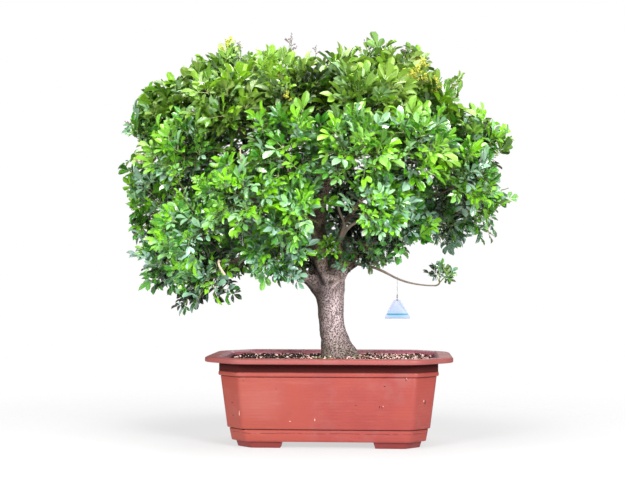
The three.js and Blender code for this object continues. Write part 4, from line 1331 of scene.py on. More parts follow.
# Compound leaves: for each leaflet where it starts on the rib, its side, length, width and turn in degrees.
leafKinds = {
    "five": {"rib": 30, "leaflets": [(13, 1, 20, 11, 64), (13, -1, 19, 10.5, 62), (27, 1, 26, 13, 50),
                                     (27, -1, 27, 13, 52), (30, 0, 33, 15.5, 0)]},
    "fiveLoose": {"rib": 33, "leaflets": [(15, 1, 22, 11, 56), (12, -1, 20, 11, 66), (30, 1, 28, 14, 44),
                                          (26, -1, 27, 13, 54), (33, 0, 34, 15, 4)]},
    "three": {"rib": 22, "leaflets": [(19, 1, 26, 13.5, 52), (19, -1, 25, 13, 54), (22, 0, 36, 17, 0)]},
    "threeBroad": {"rib": 19, "leaflets": [(16, 1, 29, 15, 46), (17, -1, 28, 14.5, 48), (19, 0, 38, 18, -3)]},
    "single": {"rib": 6, "leaflets": [(6, 0, 36, 17, 0)]},
}
crown = {
    "mixedKinds": 8, "singleKind": 9,  # templates that the shoots mix, and that of a leaf with one leaflet
    "shoots": 18, "tuftShoots": 4, "cap": 128, "firstLeafAt": 0.36, "leafStep": 10.5, "tipLeaves": 5,
    "leafReach": 46, "clipReach": (32, 62), "sprigReach": (24, 40),  # how far a leaf reaches past its foot
    "innerLeaves": 22,  # leaves painted dark as shade round the foot of each spray
    "leafMiddle": 24, "windowFront": -12,  # which leaves stand in the open windows
    # The sheen is a painted highlight in place of some leaves' colour, given most often low in the crown.
    "shadeSpread": 0.19, "sheenShare": (0.42, 0.18), "sheenHeights": (440, 820), "sheen": (0.2, 0.85),
    "growth": (0.92, 1.12), "growthHeights": (620, 860), "growthSpread": (0.86, 1.12), "tipOpening": (24, 62),
    "sizes": {"leaves_sunlit": (0.78, 1.18), "leaves": (0.64, 1.12), "leaves_shaded": (0.64, 1.08)},
    "tuftSizes": (0.52, 0.7),
    # The outline of the crown from the front, seen on the plane through the pot's middle: x and z.
    "outline": [
        (-545, 688), (-512, 706), (-484, 736), (-506, 772), (-512, 795), (-485, 862), (-437, 905),
        (-377, 910), (-330, 960), (-277, 972), (-242, 1008), (-218, 972), (-165, 975), (-105, 1002),
        (-85, 972), (-28, 958), (2, 962), (72, 970), (110, 1005), (140, 992), (162, 968), (200, 978),
        (232, 976), (247, 948), (276, 907), (335, 905), (305, 868), (312, 832), (380, 820), (412, 805),
        (448, 775), (462, 745), (420, 727), (396, 706), (398, 690), (432, 680), (428, 662), (398, 648),
        (402, 630), (454, 612), (454, 598), (410, 580), (398, 545), (402, 520), (432, 488), (375, 506),
        (327, 488), (300, 463), (262, 488), (217, 503), (197, 483), (177, 443), (145, 431), (60, 439),
        (20, 433), (-40, 383), (-67, 378), (-132, 400), (-157, 385), (-207, 420), (-225, 433), (-230, 358),
        (-262, 318), (-282, 330), (-290, 370), (-320, 366), (-330, 318), (-367, 310), (-395, 348),
        (-420, 370), (-490, 376), (-466, 455), (-520, 470), (-498, 500), (-510, 520), (-503, 547),
        (-510, 570), (-500, 590), (-515, 615), (-512, 637), (-528, 660),
    ],
    # The crown stays open to the front along the leader and at the branches beside it.
    "windows": [[(-66, 452), (-58, 560), (-40, 612), (-14, 614), (-8, 560), (-4, 470), (-30, 450)],
                [(16, 498), (18, 568), (44, 572), (92, 620), (106, 612), (74, 560), (40, 510)]],
    # Painted light and shade on the leaves, where they are brighter or darker: x, z, radius and how much.
    "lightPatches": [(-150, 570, 130, 0.18), (-300, 490, 110, 0.22), (140, 690, 120, 0.12), (310, 560, 120, 0.2),
                (20, 650, 80, -0.12), (-60, 560, 60, 0.08), (-340, 690, 110, -0.26), (-110, 700, 90, -0.24),
                (-30, 860, 55, -0.5), (330, 660, 90, -0.18), (190, 560, 80, -0.14), (-330, 340, 90, -0.55),
                (-400, 830, 120, 0.26), (300, 810, 80, 0.25)],
}


def leafletTemplate(profile, fold, droop, twist):
    stations = leaflet[profile]
    steps = len(stations) - 1
    bpy.ops.mesh.primitive_grid_add(x_subdivisions=steps, y_subdivisions=2, size=1)
    thing = bpy.context.object
    mapLayer = thing.data.uv_layers[0]
    places = pointsOf(thing)
    flat = []
    for i, (x, y, _) in enumerate(places):
        along, half = stations[round((x + 0.5) * steps)]
        sideways = round(y * 2) * half
        height = fold * abs(sideways) - droop * along * along - 0.5 * fold * sideways ** 2
        height += twist * along * sideways
        places[i] = (along, sideways, height)
        flat.append((along, 0.5 + sideways))
    for loop in thing.data.loops:
        mapLayer.data[loop.index].uv = flat[loop.vertex_index]
    setPoints(thing, places)
    editAll()
    bpy.ops.mesh.remove_doubles(threshold=1e-4)
    # The under face is a copy turned over, which meets the upper one at the rim.
    bpy.ops.mesh.duplicate()
    bpy.ops.mesh.flip_normals()
    leaveEdit()
    places = pointsOf(thing)
    half = len(places) // 2
    inner = (np.abs(places[:, 1]) < 1e-4) & (places[:, 0] > 0.01) & (places[:, 0] < 0.99)
    lower = np.arange(len(places)) >= half
    places[inner & ~lower, 2] += leaflet["thickness"] / 2
    places[inner & lower, 2] -= leaflet["thickness"] / 2
    setPoints(thing, places)
    editAll()
    bpy.ops.mesh.remove_doubles(threshold=1e-4)
    leaveEdit()
    return thing


# One compound leaf along +X with its upper face to +Z, made of copies of the leaflets and a thin rib.
def leafTemplate(name, kind, blades, seed):
    draw = random.Random(seed)
    pieces = []
    for start, side, length, width, turn in leafKinds[kind]["leaflets"]:
        source = blades[draw.randrange(len(blades))]
        copied = source.copy()
        copied.data = source.data.copy()
        bpy.context.scene.collection.objects.link(copied)
        matrix = Matrix.Translation((start * mm, side * 0.6 * mm, -0.0007 * start * start * mm))
        matrix @= Matrix.Rotation(math.radians(turn * (side or 1)), 4, "Z")
        matrix @= Matrix.Rotation(math.radians(draw.uniform(-14, 8)), 4, "Y")
        matrix @= Matrix.Rotation(math.radians(draw.uniform(-20, 20) - side * 10), 4, "X")
        copied.data.transform(matrix @ Matrix.Diagonal((length * mm, width * mm, length * mm, 1)))
        pieces.append(copied)
    rib = leafKinds[kind]["rib"]
    bpy.ops.mesh.primitive_cone_add(vertices=3, radius1=0.75 * mm, radius2=0.45 * mm, depth=(rib + 2) * mm,
                                    rotation=(0, math.radians(90), 0), location=((rib - 2) / 2 * mm, 0, 0))
    stalk = bpy.context.object
    applyPlace(stalk)
    stalk.data.uv_layers[0].name = blades[0].data.uv_layers[0].name
    for loop in stalk.data.loops:
        stalk.data.uv_layers[0].data[loop.index].uv = (-1, 0.5)
    whole = joinInto(stalk, pieces)
    whole.name = name
    return whole


def leafTemplates():
    blades = [leafletTemplate("blunt", 0.36, 0.14, 0.0), leafletTemplate("blunt", 0.5, 0.22, 0.12),
              leafletTemplate("blunt", 0.28, 0.08, -0.12), leafletTemplate("pointed", 0.42, 0.2, 0.08)]
    made = [leafTemplate(f"{kind}Leaf{i}", kind, blades, 40 + 7 * i) for kind in leafKinds for i in range(2)]
    for blade in blades:
        remove(blade)
    return made


def acrossAxis(axis):
    side = upward.cross(axis)
    if side.length < 0.1:
        side = Vector((1, 0, 0))
    side.normalize()
    return side, axis.cross(side)


# Where a point shows on the upright plane through the pot's middle, seen from the front.
def frontPlace(point):
    share = eye.y / (eye.y - point.y)
    return eye.x + (point.x - eye.x) * share, eye.z + (point.z - eye.z) * share


def isWithin(place, corners):
    x, z = place
    within = False
    for (x0, z0), (x1, z1) in zip(corners, corners[1:] + corners[:1]):
        if (z0 > z) != (z1 > z) and x < x0 + (z - z0) * (x1 - x0) / (z1 - z0):
            within = not within
    return within


tones = {
    "sunHeights": (600, 880), "sunByX": 0.1, "sunSpread": (0.1, 1.0),
    # The crown from the front is about this oval, and its edge catches some sun too.
    "oval": {"x": -30, "z": 600, "wide": 500, "tall": 420}, "edge": (0.78, 0.98), "edgeSun": 0.7,
    # Painted light: shoots higher up and further to the front are lighter.
    "shade": 0.27, "byHeight": (400, 860, 0.1), "byDepth": (100, -240, 0.14),
    # Up to which chance a shoot is bright or middling, and by how much. The rest are dark.
    "bright": (0.42, (0.3, 0.6)), "middling": (0.66, (0.05, 0.35)), "dark": (0.0, 0.12), "darkSun": 0.55,
    "patchFront": 60, "sunlessBelow": -0.3,
}


# How light the leaves of one shoot are: painted light and shade by where it is in the crown, and their own
# tone by chance.
def shootTones(place, draw):
    x, z = frontPlace(place)
    oval = tones["oval"]
    edge = math.hypot((x - oval["x"]) / oval["wide"], (z - oval["z"]) / oval["tall"])
    high = smoothStep(*tones["sunHeights"], z + tones["sunByX"] * abs(x))
    sun = max(high, tones["edgeSun"] * smoothStep(*tones["edge"], edge)) * draw.uniform(*tones["sunSpread"])
    shade = tones["shade"]
    for value, (low, top, amount) in ((z, tones["byHeight"]), (place.y, tones["byDepth"])):
        shade += amount * smoothStep(low, top, value)
    chance = draw.random()
    if chance < tones["bright"][0]:
        shade += draw.uniform(*tones["bright"][1])
    elif chance < tones["middling"][0]:
        shade += draw.uniform(*tones["middling"][1])
    else:
        shade -= draw.uniform(*tones["dark"])
        sun *= tones["darkSun"]
    if place.y < tones["patchFront"]:
        for x0, z0, radius, change in crown["lightPatches"]:
            near = math.exp(-(((x - x0) ** 2 + (z - z0) ** 2) / radius ** 2))
            shade += change * near
            if change < tones["sunlessBelow"]:
                sun *= 1 - near
    return shade, sun


# The leaves of one piece, and the leafy shoots that carry them.
class Foliage:
    def __init__(self, templates, sizes, seed):
        self.draw = random.Random(seed)
        self.sheenAndClipDraw = random.Random(seed + 5000)
        self.leaves = Gathered(templates)
        self.sizes = sizes
        self.phase = self.draw.uniform(0, 2 * math.pi)
        self.isClipped, self.clipReach = True, crown["clipReach"]

    def addLeaf(self, foot, heading, light, shade, sun, scale=1.0, kind=None):
        draw = self.draw
        heading = heading.normalized()
        size = draw.uniform(*self.sizes) * scale
        if self.isClipped:
            tip = frontPlace(foot + heading * (self.sheenAndClipDraw.uniform(*self.clipReach) * size))
            if not isWithin(tip, crown["outline"]):
                return
            seen = frontPlace(foot + heading * crown["leafMiddle"] * size)
            if foot.y < crown["windowFront"] and any(isWithin(seen, window) for window in crown["windows"]):
                return
        face = light - heading * light.dot(heading)
        if face.length < 0.15:
            face = acrossAxis(heading)[0]
        face.normalize()
        basis = Matrix((heading, face.cross(heading), face)).transposed().to_4x4()
        shade += draw.gauss(0, crown["shadeSpread"])
        if kind is None:
            kind = draw.randrange(crown["mixedKinds"])
        sun = min(1, max(0, sun + draw.uniform(-0.4, 0.16) * (sun > 0.05)))
        # Some leaves take a painted sheen, a pale highlight, in place of their sun.
        sheenShare = blendTo(*crown["sheenShare"], smoothStep(*crown["sheenHeights"], foot.z))
        if self.sheenAndClipDraw.random() < sheenShare and shade > 0.06:
            sun = -self.sheenAndClipDraw.uniform(*crown["sheen"])
        self.leaves.add(kind, Matrix.Translation(spot(*foot)) @ basis @ Matrix.Scale(size, 4),
                        shade=min(1, max(0, shade)), sun=sun)

    # Leaves round a shoot in a spiral, then a rosette at its tip.
    def addShoot(self, line, shade, sun, firstLeafAt, turn):
        draw = self.draw
        tip = line[-1]
        steps = len(line) - 1
        length = (tip - line[0]).length
        outward = (tip - crownHeart).normalized()
        grow = blendTo(*crown["growth"], smoothStep(*crown["growthHeights"], tip.z))
        grow *= draw.uniform(*crown["growthSpread"])
        count = max(1, int(length * (1 - firstLeafAt) / crown["leafStep"]))
        for k in range(count):
            along = blendTo(firstLeafAt, 0.94, (k + draw.uniform(0.2, 0.8)) / count)
            j = min(steps - 1, int(along * steps))
            foot = line[j].lerp(line[j + 1], along * steps - j)
            heading = (line[j + 1] - line[j]).normalized()
            side, up = acrossAxis(heading)
            spin = self.phase + k * goldenTurn + turn
            sideways = side * math.cos(spin) + up * math.sin(spin)
            leafHeading = heading * 0.55 + sideways * 0.85 + upward * 0.18
            wander = Vector((draw.uniform(-0.9, 0.9), draw.uniform(-0.9, 0.5), 0))
            light = upward * 0.6 + outward * 0.7 + wander
            # Leaves further down a shoot, deeper in the spray, get painted shade and less painted sun.
            self.addLeaf(foot, leafHeading, light, shade - 0.3 * (1 - along), sun * (0.3 + 0.6 * along), grow)
        end = ((line[-1] - line[-2]).normalized() + upward * 0.3 + outward * 0.4).normalized()
        side, up = acrossAxis(end)
        for k in range(crown["tipLeaves"]):
            spin = self.phase + k * goldenTurn
            opened = math.radians(draw.uniform(*crown["tipOpening"]) if k else draw.uniform(0, 18))
            sideways = side * math.cos(spin) + up * math.sin(spin)
            leafHeading = end * math.cos(opened) + sideways * math.sin(opened)
            wander = Vector((draw.uniform(-0.9, 0.9), draw.uniform(-0.9, 0.5), 0.1))
            light = upward * 0.6 + outward * 0.8 + wander
            # The rosette at the tip gets a little painted light.
            self.addLeaf(tip - end * (1.5 * k), leafHeading, light, shade + 0.08, sun, grow)

    def make(self, name):
        made = self.leaves.make(name, "leafMap")
        smoothByAngle(made, 60)
        return made


shootSteps = 5
shootRadii = radiiAlong(1.5, 0.75, shootSteps)
spraySeed, sprigSeed, flowerSeed = 300, 900, 77


def growSpray(plan, templates, material, slotName, shootLines, seed):
    isTuft = plan["isTuft"]
    grown = Foliage(templates, crown["tuftSizes"] if isTuft else crown["sizes"][slotName], seed)
    draw = grown.draw
    grown.isClipped = not isTuft
    middle, axis, reach, seat = plan["middle"], plan["axis"], plan["reach"], plan["seat"]
    side, up = acrossAxis(axis)
    shoots = crown["tuftShoots"] if isTuft else crown["shoots"]
    leafReach = crown["leafReach"] * (0.5 if isTuft else 0.9)
    cap = math.cos(math.radians(crown["cap"] * (0.62 if isTuft else 1)))
    for i in range(shoots):
        lean = 1 - (i + 0.5) / shoots * (1 - cap)
        turn = grown.phase + i * goldenTurn
        out = math.sqrt(max(0, 1 - lean * lean))
        direction = axis * lean + (side * math.cos(turn) + up * math.sin(turn)) * out
        direction += Vector((draw.uniform(-0.15, 0.15), draw.uniform(-0.15, 0.15), draw.uniform(-0.1, 0.15)))
        direction.normalize()
        tip = middle + direction * (reach - leafReach) * draw.uniform(0.72, 1.06)
        bend = seat.lerp(middle, 0.7) + direction * reach * 0.12
        if grown.isClipped and not isWithin(frontPlace(tip), crown["outline"]):
            tip = tip.lerp(bend, 0.35)
        line = bezier(seat, seat.lerp(bend, 0.6), bend.lerp(tip, 0.4), tip, shootSteps)
        shootLines.append((line, shootRadii))
        shade, sun = shootTones(tip, draw)
        if isTuft:
            # The leader's tuft is painted bright, as painted light where the leaves round it shade it.
            shade, sun = (1.0, 0.0) if plan["limb"] == "leader" else (0.22, 0.45)
        grown.addShoot(line, shade, sun, crown["firstLeafAt"], i)
    if not isTuft:
        # Inner leaves round the seat, painted dark as shade.
        for _ in range(crown["innerLeaves"]):
            away = Vector((draw.gauss(0, 1), draw.gauss(0, 1), draw.gauss(0, 1))).normalized()
            foot = seat + away * draw.uniform(0.02, 0.4) * reach
            grown.addLeaf(foot, away + upward * 0.1, upward + away * 0.5, 0.05, 0.0)
    finishPiece(grown.make(plan["name"] + "_leaves"), slotName, material, plan["name"])


# Small sprigs beside the sprays: three numbers for the foot, three for the tip, then the shade, sun and size
# of the leaves. A row without the last three has the look of the shaded ones, painted dark as shade.
shadedSprig = (0.02, 0.0, 0.95)
sprigs = {
    # Past the edge of the crown.
    "outer": {
        "leaves_sunlit": [
            (-430, -20, 820, -464, -30, 850, 0.7, 0.6, 1.05), (276, -30, 862, 312, -40, 880, 0.7, 0.6, 0.75),
            (-112, -30, 945, -108, -34, 972, 0.7, 0.8, 0.9), (-190, -30, 925, -192, -34, 954, 0.7, 0.8, 1.0),
            (22, -30, 925, 24, -34, 942, 0.7, 0.8, 0.9), (84, -24, 930, 88, -26, 950, 0.6, 0.7, 0.9),
            (122, -24, 930, 126, -28, 968, 0.6, 0.7, 0.9), (226, -24, 912, 232, -28, 946, 0.6, 0.8, 0.9),
            (-326, -24, 900, -322, -30, 938, 0.6, 0.7, 0.9), (-250, -24, 930, -262, -30, 950, 0.7, 0.9, 0.9),
        ],
        "leaves": [
            (-470, -30, 655, -516, -40, 684, 0.5, 0.4, 1.15), (-462, -20, 745, -504, -30, 770, 0.6, 0.5, 1.1),
            (412, -20, 620, 440, -30, 626, 0.6, 0.5, 0.85), (410, -10, 722, 440, -20, 740, 0.6, 0.6, 0.85),
        ],
        "leaves_shaded": [
            (-452, -60, 535, -486, -70, 508, 0.4, 0.2, 0.9),
            (-276, -110, 392, -246, -124, 376, 0.15, 0.0, 0.8),
            (-336, -110, 375, -344, -120, 345, 0.1, 0.0, 0.8),
            (-170, -130, 432, -168, -146, 410, 0.2, 0.0, 0.8),
            (-112, -120, 440, -84, -140, 408, 0.45, 0.0, 0.8),
            (-128, -120, 450, -112, -150, 420, 0.3, 0.0, 0.8), (378, -20, 530, 404, -30, 508, 0.3, 0.1, 0.8),
        ],
    },
    # Leaves that hide the right limb and the wood behind the fork.
    "fork": {
        "leaves": [
            (236, 2, 604, 236, -72, 606, 0.5, 0.2, 0.8), (240, 2, 612, 268, -80, 628, 0.3, 0.1, 0.85),
            (226, 2, 596, 208, -80, 596, 0.55, 0.1, 0.8), (246, 2, 612, 292, -66, 602, 0.25, 0.2, 0.85),
        ],
        "leaves_shaded": [
            (60, 0, 448, 30, -58, 440, 0.3, 0.0, 0.62), (66, 10, 460, 52, -52, 470, 0.25, 0.0, 0.7),
            (80, 10, 470, 92, -60, 486, 0.35, 0.1, 0.75), (100, 10, 490, 112, -56, 470, 0.2, 0.1, 0.75),
            (112, 8, 500, 140, -56, 500, 0.4, 0.2, 0.75), (130, 8, 520, 164, -50, 480, 0.3, 0.3, 0.75),
            (70, 10, 470, 78, -20, 456, 0.1, 0.0, 0.7), (46, 12, 440, 20, 40, 452, 0.05, 0.0, 0.8),
            (40, 60, 490, 10, 30, 470, 0.05, 0.0, 0.85), (40, 60, 500, 24, 20, 505, 0.05, 0.0, 0.85),
            (56, 130, 545, 40, 70, 545, 0.05, 0.0, 0.9), (-40, 58, 512, -70, 20, 520, 0.05, 0.0, 0.9),
            (-66, 120, 570, -80, 60, 560, 0.1, 0.0, 0.9), (-40, 58, 500, -84, 30, 470, 0.0, 0.0, 0.9),
            (226, 2, 598, 236, -66, 574, 0.2, 0.1, 0.85), (250, 2, 616, 276, -60, 578, 0.3, 0.1, 0.8),
            (-58, -16, 406, -70, -52, 430, 0.1, 0.0, 0.8), (-80, -20, 416, -92, -62, 424, 0.35, 0.0, 0.8),
        ],
    },
    # Leaves in the heart of the crown, painted dark as shade.
    "heart": {
        "leaves": [
            (-20, -8, 620, 30, 60, 600), (-18, 0, 640, 60, 80, 640), (18, 0, 682, 60, 60, 650),
            (-20, -8, 600, -90, 70, 610), (-18, 0, 720, -70, 60, 690), (-18, 0, 700, 40, 70, 720),
            (110, 10, 500, 150, 60, 590), (-130, 10, 620, -160, 60, 660), (-200, 2, 720, -230, 60, 720),
            (80, 4, 742, 120, 60, 720), (190, 4, 570, 210, 60, 620),
        ],
        "leaves_shaded": [
            (-26, -14, 540, 40, 70, 560), (-80, 6, 520, -120, 70, 540), (-80, 6, 520, -70, 60, 480),
            (50, 12, 440, 70, 70, 500), (110, 10, 500, 90, 60, 560),
            (-40, 58, 470, -60, 30, 440, 0.02, 0.0, 0.8), (-40, 50, 460, -40, 20, 446, 0.02, 0.0, 0.8),
            (20, 40, 450, 0, 24, 444, 0.02, 0.0, 0.8), (-170, 16, 590, -190, 50, 560),
            (-275, -58, 446, -330, -40, 500, 0.2, 0.0, 0.95), (-210, -52, 448, -250, 20, 500, 0.2, 0.0, 0.95),
            (-250, -54, 448, -300, 10, 470, 0.2, 0.0, 0.95), (-255, 18, 636, -290, -20, 580, 0.2, 0.0, 0.95),
        ],
    },
    # Small olive leaves over the twig of the tag.
    "overTwig": {
        "leaves_shaded": [
            (92, -10, 438, 112, -36, 462, 0.45, 0.5, 0.5), (112, -14, 430, 138, -34, 452, 0.4, 0.5, 0.5),
            (104, -12, 432, 122, -30, 446, 0.35, 0.6, 0.5),
        ],
    },
    # Young lime green tips.
    "lime": {
        "leaves_sunlit": [
            (-128, -214, 862, -130, -252, 910, 1.0, 0.3, 0.5),
            (-120, -222, 846, -140, -262, 886, 1.0, 0.3, 0.5),
            (-112, -226, 838, -100, -266, 872, 1.0, 0.3, 0.5),
            (-100, -230, 820, -88, -270, 848, 1.0, 0.3, 0.5),
            (-118, -226, 830, -122, -270, 862, 1.0, 0.3, 0.5),
        ],
        "leaves": [
            (-330, -240, 610, -344, -268, 644, 1.0, 0.2, 0.5),
            (-300, -270, 560, -322, -300, 594, 1.0, 0.1, 0.5),
            (-270, -272, 580, -280, -304, 622, 1.0, 0.2, 0.5),
        ],
    },
}


# A single leaf under the twig of the tag: foot, heading and the way that it faces.
loneLeaf = ((100, -14, 446), (-0.05, -0.1, -1), (0.2, -1, 0.1))


def growSprigs(templates, materials, shootLines):
    for group, (name, slots) in enumerate(sprigs.items()):
        for slotName, rows in slots.items():
            grown = Foliage(templates, (0.85, 1.05), sprigSeed + group)
            grown.isClipped, grown.clipReach = name == "outer", crown["sprigReach"]
            for i, row in enumerate(rows):
                shade, sun, size = row[6:] or shadedSprig
                grown.sizes = (size * 0.86, size * 1.06)
                foot, tip = Vector(row[:3]), Vector(row[3:6])
                sag = foot.lerp(tip, 0.5) + Vector((0, 0, -0.06 * (tip - foot).length))
                line = bezier(foot, foot.lerp(sag, 0.8), sag.lerp(tip, 0.3), tip, shootSteps)
                shootLines.append((line, shootRadii))
                grown.addShoot(line, shade, sun, 0.3, i)
            if name == "overTwig":
                foot, heading, light = (Vector(place) for place in loneLeaf)
                grown.addLeaf(foot, heading, light, 0.3, 0.3, 1.0 / grown.sizes[1], crown["singleKind"])
            finishPiece(grown.make(f"{name}_sprigs_{slotName}"), slotName, materials[slotName])


# Flowers

panicles = {
    # Tip, foot, number of side stalks, and which node each stands for. Small ones stand for none.
    "large": {
        "panicle_top_left": ((-250, -30, 1010), (-262, -18, 940), 9),
        "panicle_top_right": ((222, -36, 958), (196, -20, 900), 11),
        "panicle_right": ((258, -60, 900), (266, -40, 850), 7),
        "panicle_left": ((-478, -84, 692), (-452, -40, 724), 7),
        "panicle_crown": ((-96, -14, 1018), (-112, 4, 950), 2),
    },
    "small": [
        ((186, -100, 912), (176, -86, 880), 5), ((238, -96, 900), (226, -84, 872), 5),
        ((-298, -150, 832), (-292, -128, 806), 3), ((-122, -196, 876), (-116, -180, 846), 4),
        ((-88, -190, 860), (-94, -176, 832), 4), ((-312, -188, 806), (-302, -170, 782), 3),
        ((262, -60, 870), (250, -48, 846), 4), ((212, -120, 900), (204, -100, 868), 5),
        ((232, -148, 928), (228, -126, 898), 5), ((217, -150, 912), (214, -128, 882), 5),
        ((201, -152, 902), (198, -130, 872), 5), ((187, -154, 893), (184, -132, 863), 5),
        ((177, -154, 882), (174, -132, 854), 4), ((-104, -258, 880), (-108, -234, 850), 4),
        ((-86, -266, 834), (-89, -242, 804), 4),
    ],
    # Slim grey shoots with closed buds that stand out over the crown.
    "spikes": [
        ((-96, -6, 1013), (-100, 0, 976)), ((92, -30, 1004), (90, -22, 962)),
        ((-350, -10, 962), (-338, -6, 920)), ((-226, -20, 1000), (-232, -16, 966)),
        ((152, -10, 1000), (150, -6, 962)), ((190, -20, 978), (184, -16, 946)),
        ((-34, -30, 986), (-36, -24, 950)), ((-328, -40, 948), (-322, -30, 912)),
        ((-520, -20, 800), (-492, -14, 786)),
    ],
    "budSize": (1.2, 2.0),
}


def budTemplate():
    bpy.ops.mesh.primitive_ico_sphere_add(subdivisions=1, radius=1)
    return readTemplate(added("bud"))


def sprinkle(buds, lines, tip, foot, sideStalks, draw, grey, pale, amount):
    tip, foot = Vector(tip), Vector(foot)
    stem = tip - foot
    lines.append((bezier(foot, foot + stem * 0.3, tip - stem * 0.3, tip, 3), [0.8, 0.7, 0.6, 0.45]))
    side, up = acrossAxis(stem.normalized())
    low, high = panicles["budSize"]

    def bud(place, size):
        stretch = Matrix.Diagonal((size * mm, size * mm, size * 1.2 * mm, 1))
        buds.add(0, Matrix.Translation(spot(*place)) @ turnFrom(draw) @ stretch, grey=grey, pale=pale)

    for i in range(sideStalks):
        share = 0.35 + 0.6 * i / max(1, sideStalks)
        base = foot + stem * share
        turn = i * goldenTurn
        out = (side * math.cos(turn) + up * math.sin(turn)) + stem.normalized() * 0.7
        length = stem.length * (0.36 - 0.26 * i / sideStalks)
        end = base + out.normalized() * length
        lines.append(([base, base.lerp(end, 0.5), end], [0.5, 0.42, 0.3]))
        for k in range(amount):
            away = Vector((draw.uniform(-1, 1), draw.uniform(-1, 1), draw.uniform(-1, 1))) * 2.4
            bud(base.lerp(end, 0.3 + 0.7 * k / (amount - 1)) + away, draw.uniform(low, high))
    for k in range(amount):
        away = Vector((draw.uniform(-1, 1), draw.uniform(-1, 1), 0)) * 2.2
        bud(foot + stem * (0.55 + 0.5 * k / amount) + away, draw.uniform(low, high) * 0.85)


def makeFlowers(material, stalkMaterial):
    draw = random.Random(flowerSeed)
    stalks = []
    for name, (tip, foot, count) in panicles["large"].items():
        buds = Gathered([budTemplate()])
        pale = 0.7 if name == "panicle_left" else 0.0
        grey = 1.0 if name == "panicle_crown" else 0.0
        sprinkle(buds, stalks, tip, foot, count, draw, grey, pale, 16)
        made = buds.make(name + "_buds")
        smoothByAngle(made, 80)
        finishPiece(made, "flowers", material, name)
    buds = Gathered([budTemplate()])
    for tip, foot, count in panicles["small"]:
        sprinkle(buds, stalks, tip, foot, count, draw, 0.0, 0.0, 13)
    for tip, foot in panicles["spikes"]:
        sprinkle(buds, stalks, tip, foot, 2, draw, 1.0, 0.0, 5)
    made = buds.make("small_buds")
    smoothByAngle(made, 80)
    finishPiece(made, "flowers", material)
    stems = markedTubes("flower_stalks", stalks, 0, [(0.8, 0.1)] * len(stalks))
    finishPiece(stems, "flowers", stalkMaterial)


# Tag and wire

tag = {"hangsAt": 0.59, "holeRadius": 2.2, "holeFromTop": 6, "height": 48, "topWidth": 15,
       "bottomWidth": 66, "corner": 5, "thickness": 1, "edge": 0.3}
wire = {"radius": 0.6, "clearance": 0.3, "endDrop": 9, "hookRadius": 2.6,
        "windingRadius": 1.5, "windingRise": 0.42, "windingAt": 5, "windings": 3}


# The middle and radius of the twig where the tag hangs.
def hangingPlace():
    twig = limbs["tag_twig"]
    line = smoothLine(twig["line"], 100)
    return Vector(line[round(tag["hangsAt"] * 100)]), limbRadius(twig["radius"], tag["hangsAt"])


# The middle of the tag's upper edge.
def tagPlace():
    low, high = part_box("tag")
    return Vector(((low.x + high.x) / 2, (low.y + high.y) / 2, high.z))


def makeTag(material):
    bpy.ops.mesh.primitive_plane_add(size=1)
    plate = added("tag_plate")
    places = pointsOf(plate)
    for i, (x, y, _) in enumerate(places):
        half = (tag["topWidth"] if y > 0 else tag["bottomWidth"]) / 2
        places[i] = (math.copysign(half * mm, x), 0, 0 if y > 0 else -tag["height"] * mm)
    setPoints(plate, places)
    editAll()
    bpy.ops.mesh.bevel(offset=tag["corner"] * mm, segments=5, affect="VERTICES")
    leaveEdit()
    applyModifier(plate, "SOLIDIFY", thickness=tag["thickness"] * mm, offset=0)
    bpy.ops.mesh.primitive_cylinder_add(vertices=24, radius=tag["holeRadius"] * mm, depth=0.02,
                                        rotation=(math.radians(90), 0, 0),
                                        location=(0, 0, -tag["holeFromTop"] * mm))
    punch = bpy.context.object
    applyPlace(punch)
    combine(plate, punch)
    bevelEdges(plate, tag["edge"], 50)
    plate.location = tagPlace()
    applyPlace(plate)
    fixNormals(plate)
    smoothByAngle(plate, 35)
    finishPiece(plate, "tag_plastic", material, "tag")


def halfRing(size, height, start):
    turns = [start + math.pi * i / 12 for i in range(13)]
    return [(size * math.cos(turn), height + size * math.sin(turn)) for turn in turns]


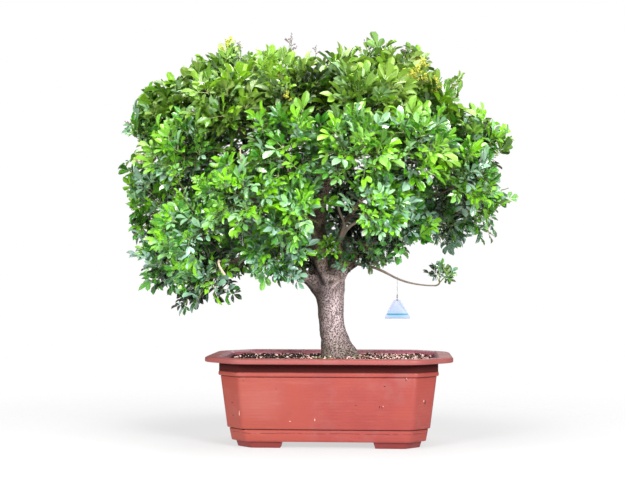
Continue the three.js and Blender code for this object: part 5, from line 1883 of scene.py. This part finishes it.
def makeWire(material):
    middle, radius = hangingPlace()
    over = radius + wire["clearance"] + wire["radius"]
    holeZ = tagPlace().z / mm - tag["holeFromTop"]
    under = wire["hookRadius"]
    low = holeZ + tag["holeRadius"] - wire["radius"] - wire["clearance"] + under - middle.z
    shape = [(over, -wire["endDrop"]), *halfRing(over, 0, 0), (-under, low + 2 * under),
             *halfRing(under, low, math.pi), (under, low + wire["endDrop"])]
    points = [Vector((middle.x, middle.y + y, middle.z + up)) for y, up in shape]
    # The end is wound round the straight part.
    around = wire["windingRadius"]
    wound = []
    for t in np.linspace(0, 2 * wire["windings"] * math.pi, 40):
        z = middle.z + low + wire["windingAt"] + t * wire["windingRise"]
        wound.append(Vector((middle.x + around * math.cos(t), middle.y - under + around * math.sin(t), z)))
    lines = [(points, [wire["radius"]] * len(points)), (wound, [wire["radius"] * 0.9] * len(wound))]
    made = drawTubes("tag_hanger", lines, 2)
    smoothByAngle(made, 60)
    finishPiece(made, "tag_wire", material, "tag_wire")


# Everything in turn

placeCamera()
setStudio()
blotches, dots = makeBlotches(), makeDots()
leafFace = makeLeafFace(blotches)
print("pot")
makePot(potMaterial(blotches, dots))
print("soil")
makeSoil(gritMaterial(blotches, "fineSoil", False))
makeGrains(gritMaterial(blotches, "soilGrains", True), mossMaterial())
print("wood")
makeWood(barkMaterial(blotches, dots))
print("leaves")
planned = planSprays()
slotOf = {row["node"]: row["material_slot"] for row in frame["record"]["subparts"]}
leafMaterials = {name: leafMaterial(name, leafFace) for name in leafColours}
templates = [readTemplate(thing) for thing in leafTemplates()]
shootLines = []
for i, plan in enumerate(planned):
    slotName = slotOf[plan["name"]]
    growSpray(plan, templates, leafMaterials[slotName], slotName, shootLines, spraySeed + i)
growSprigs(templates, leafMaterials, shootLines)
print("twigs and flowers")
youngBark = twigMaterial(blotches)
makeTwigs(planned, shootLines, youngBark)
makeFlowers(budMaterial(), youngBark)
print("tag")
makeTag(tagMaterial())
makeWire(wireMaterial())
print(f"{len(triangleCount)} pieces, {sum(triangleCount)} triangles")
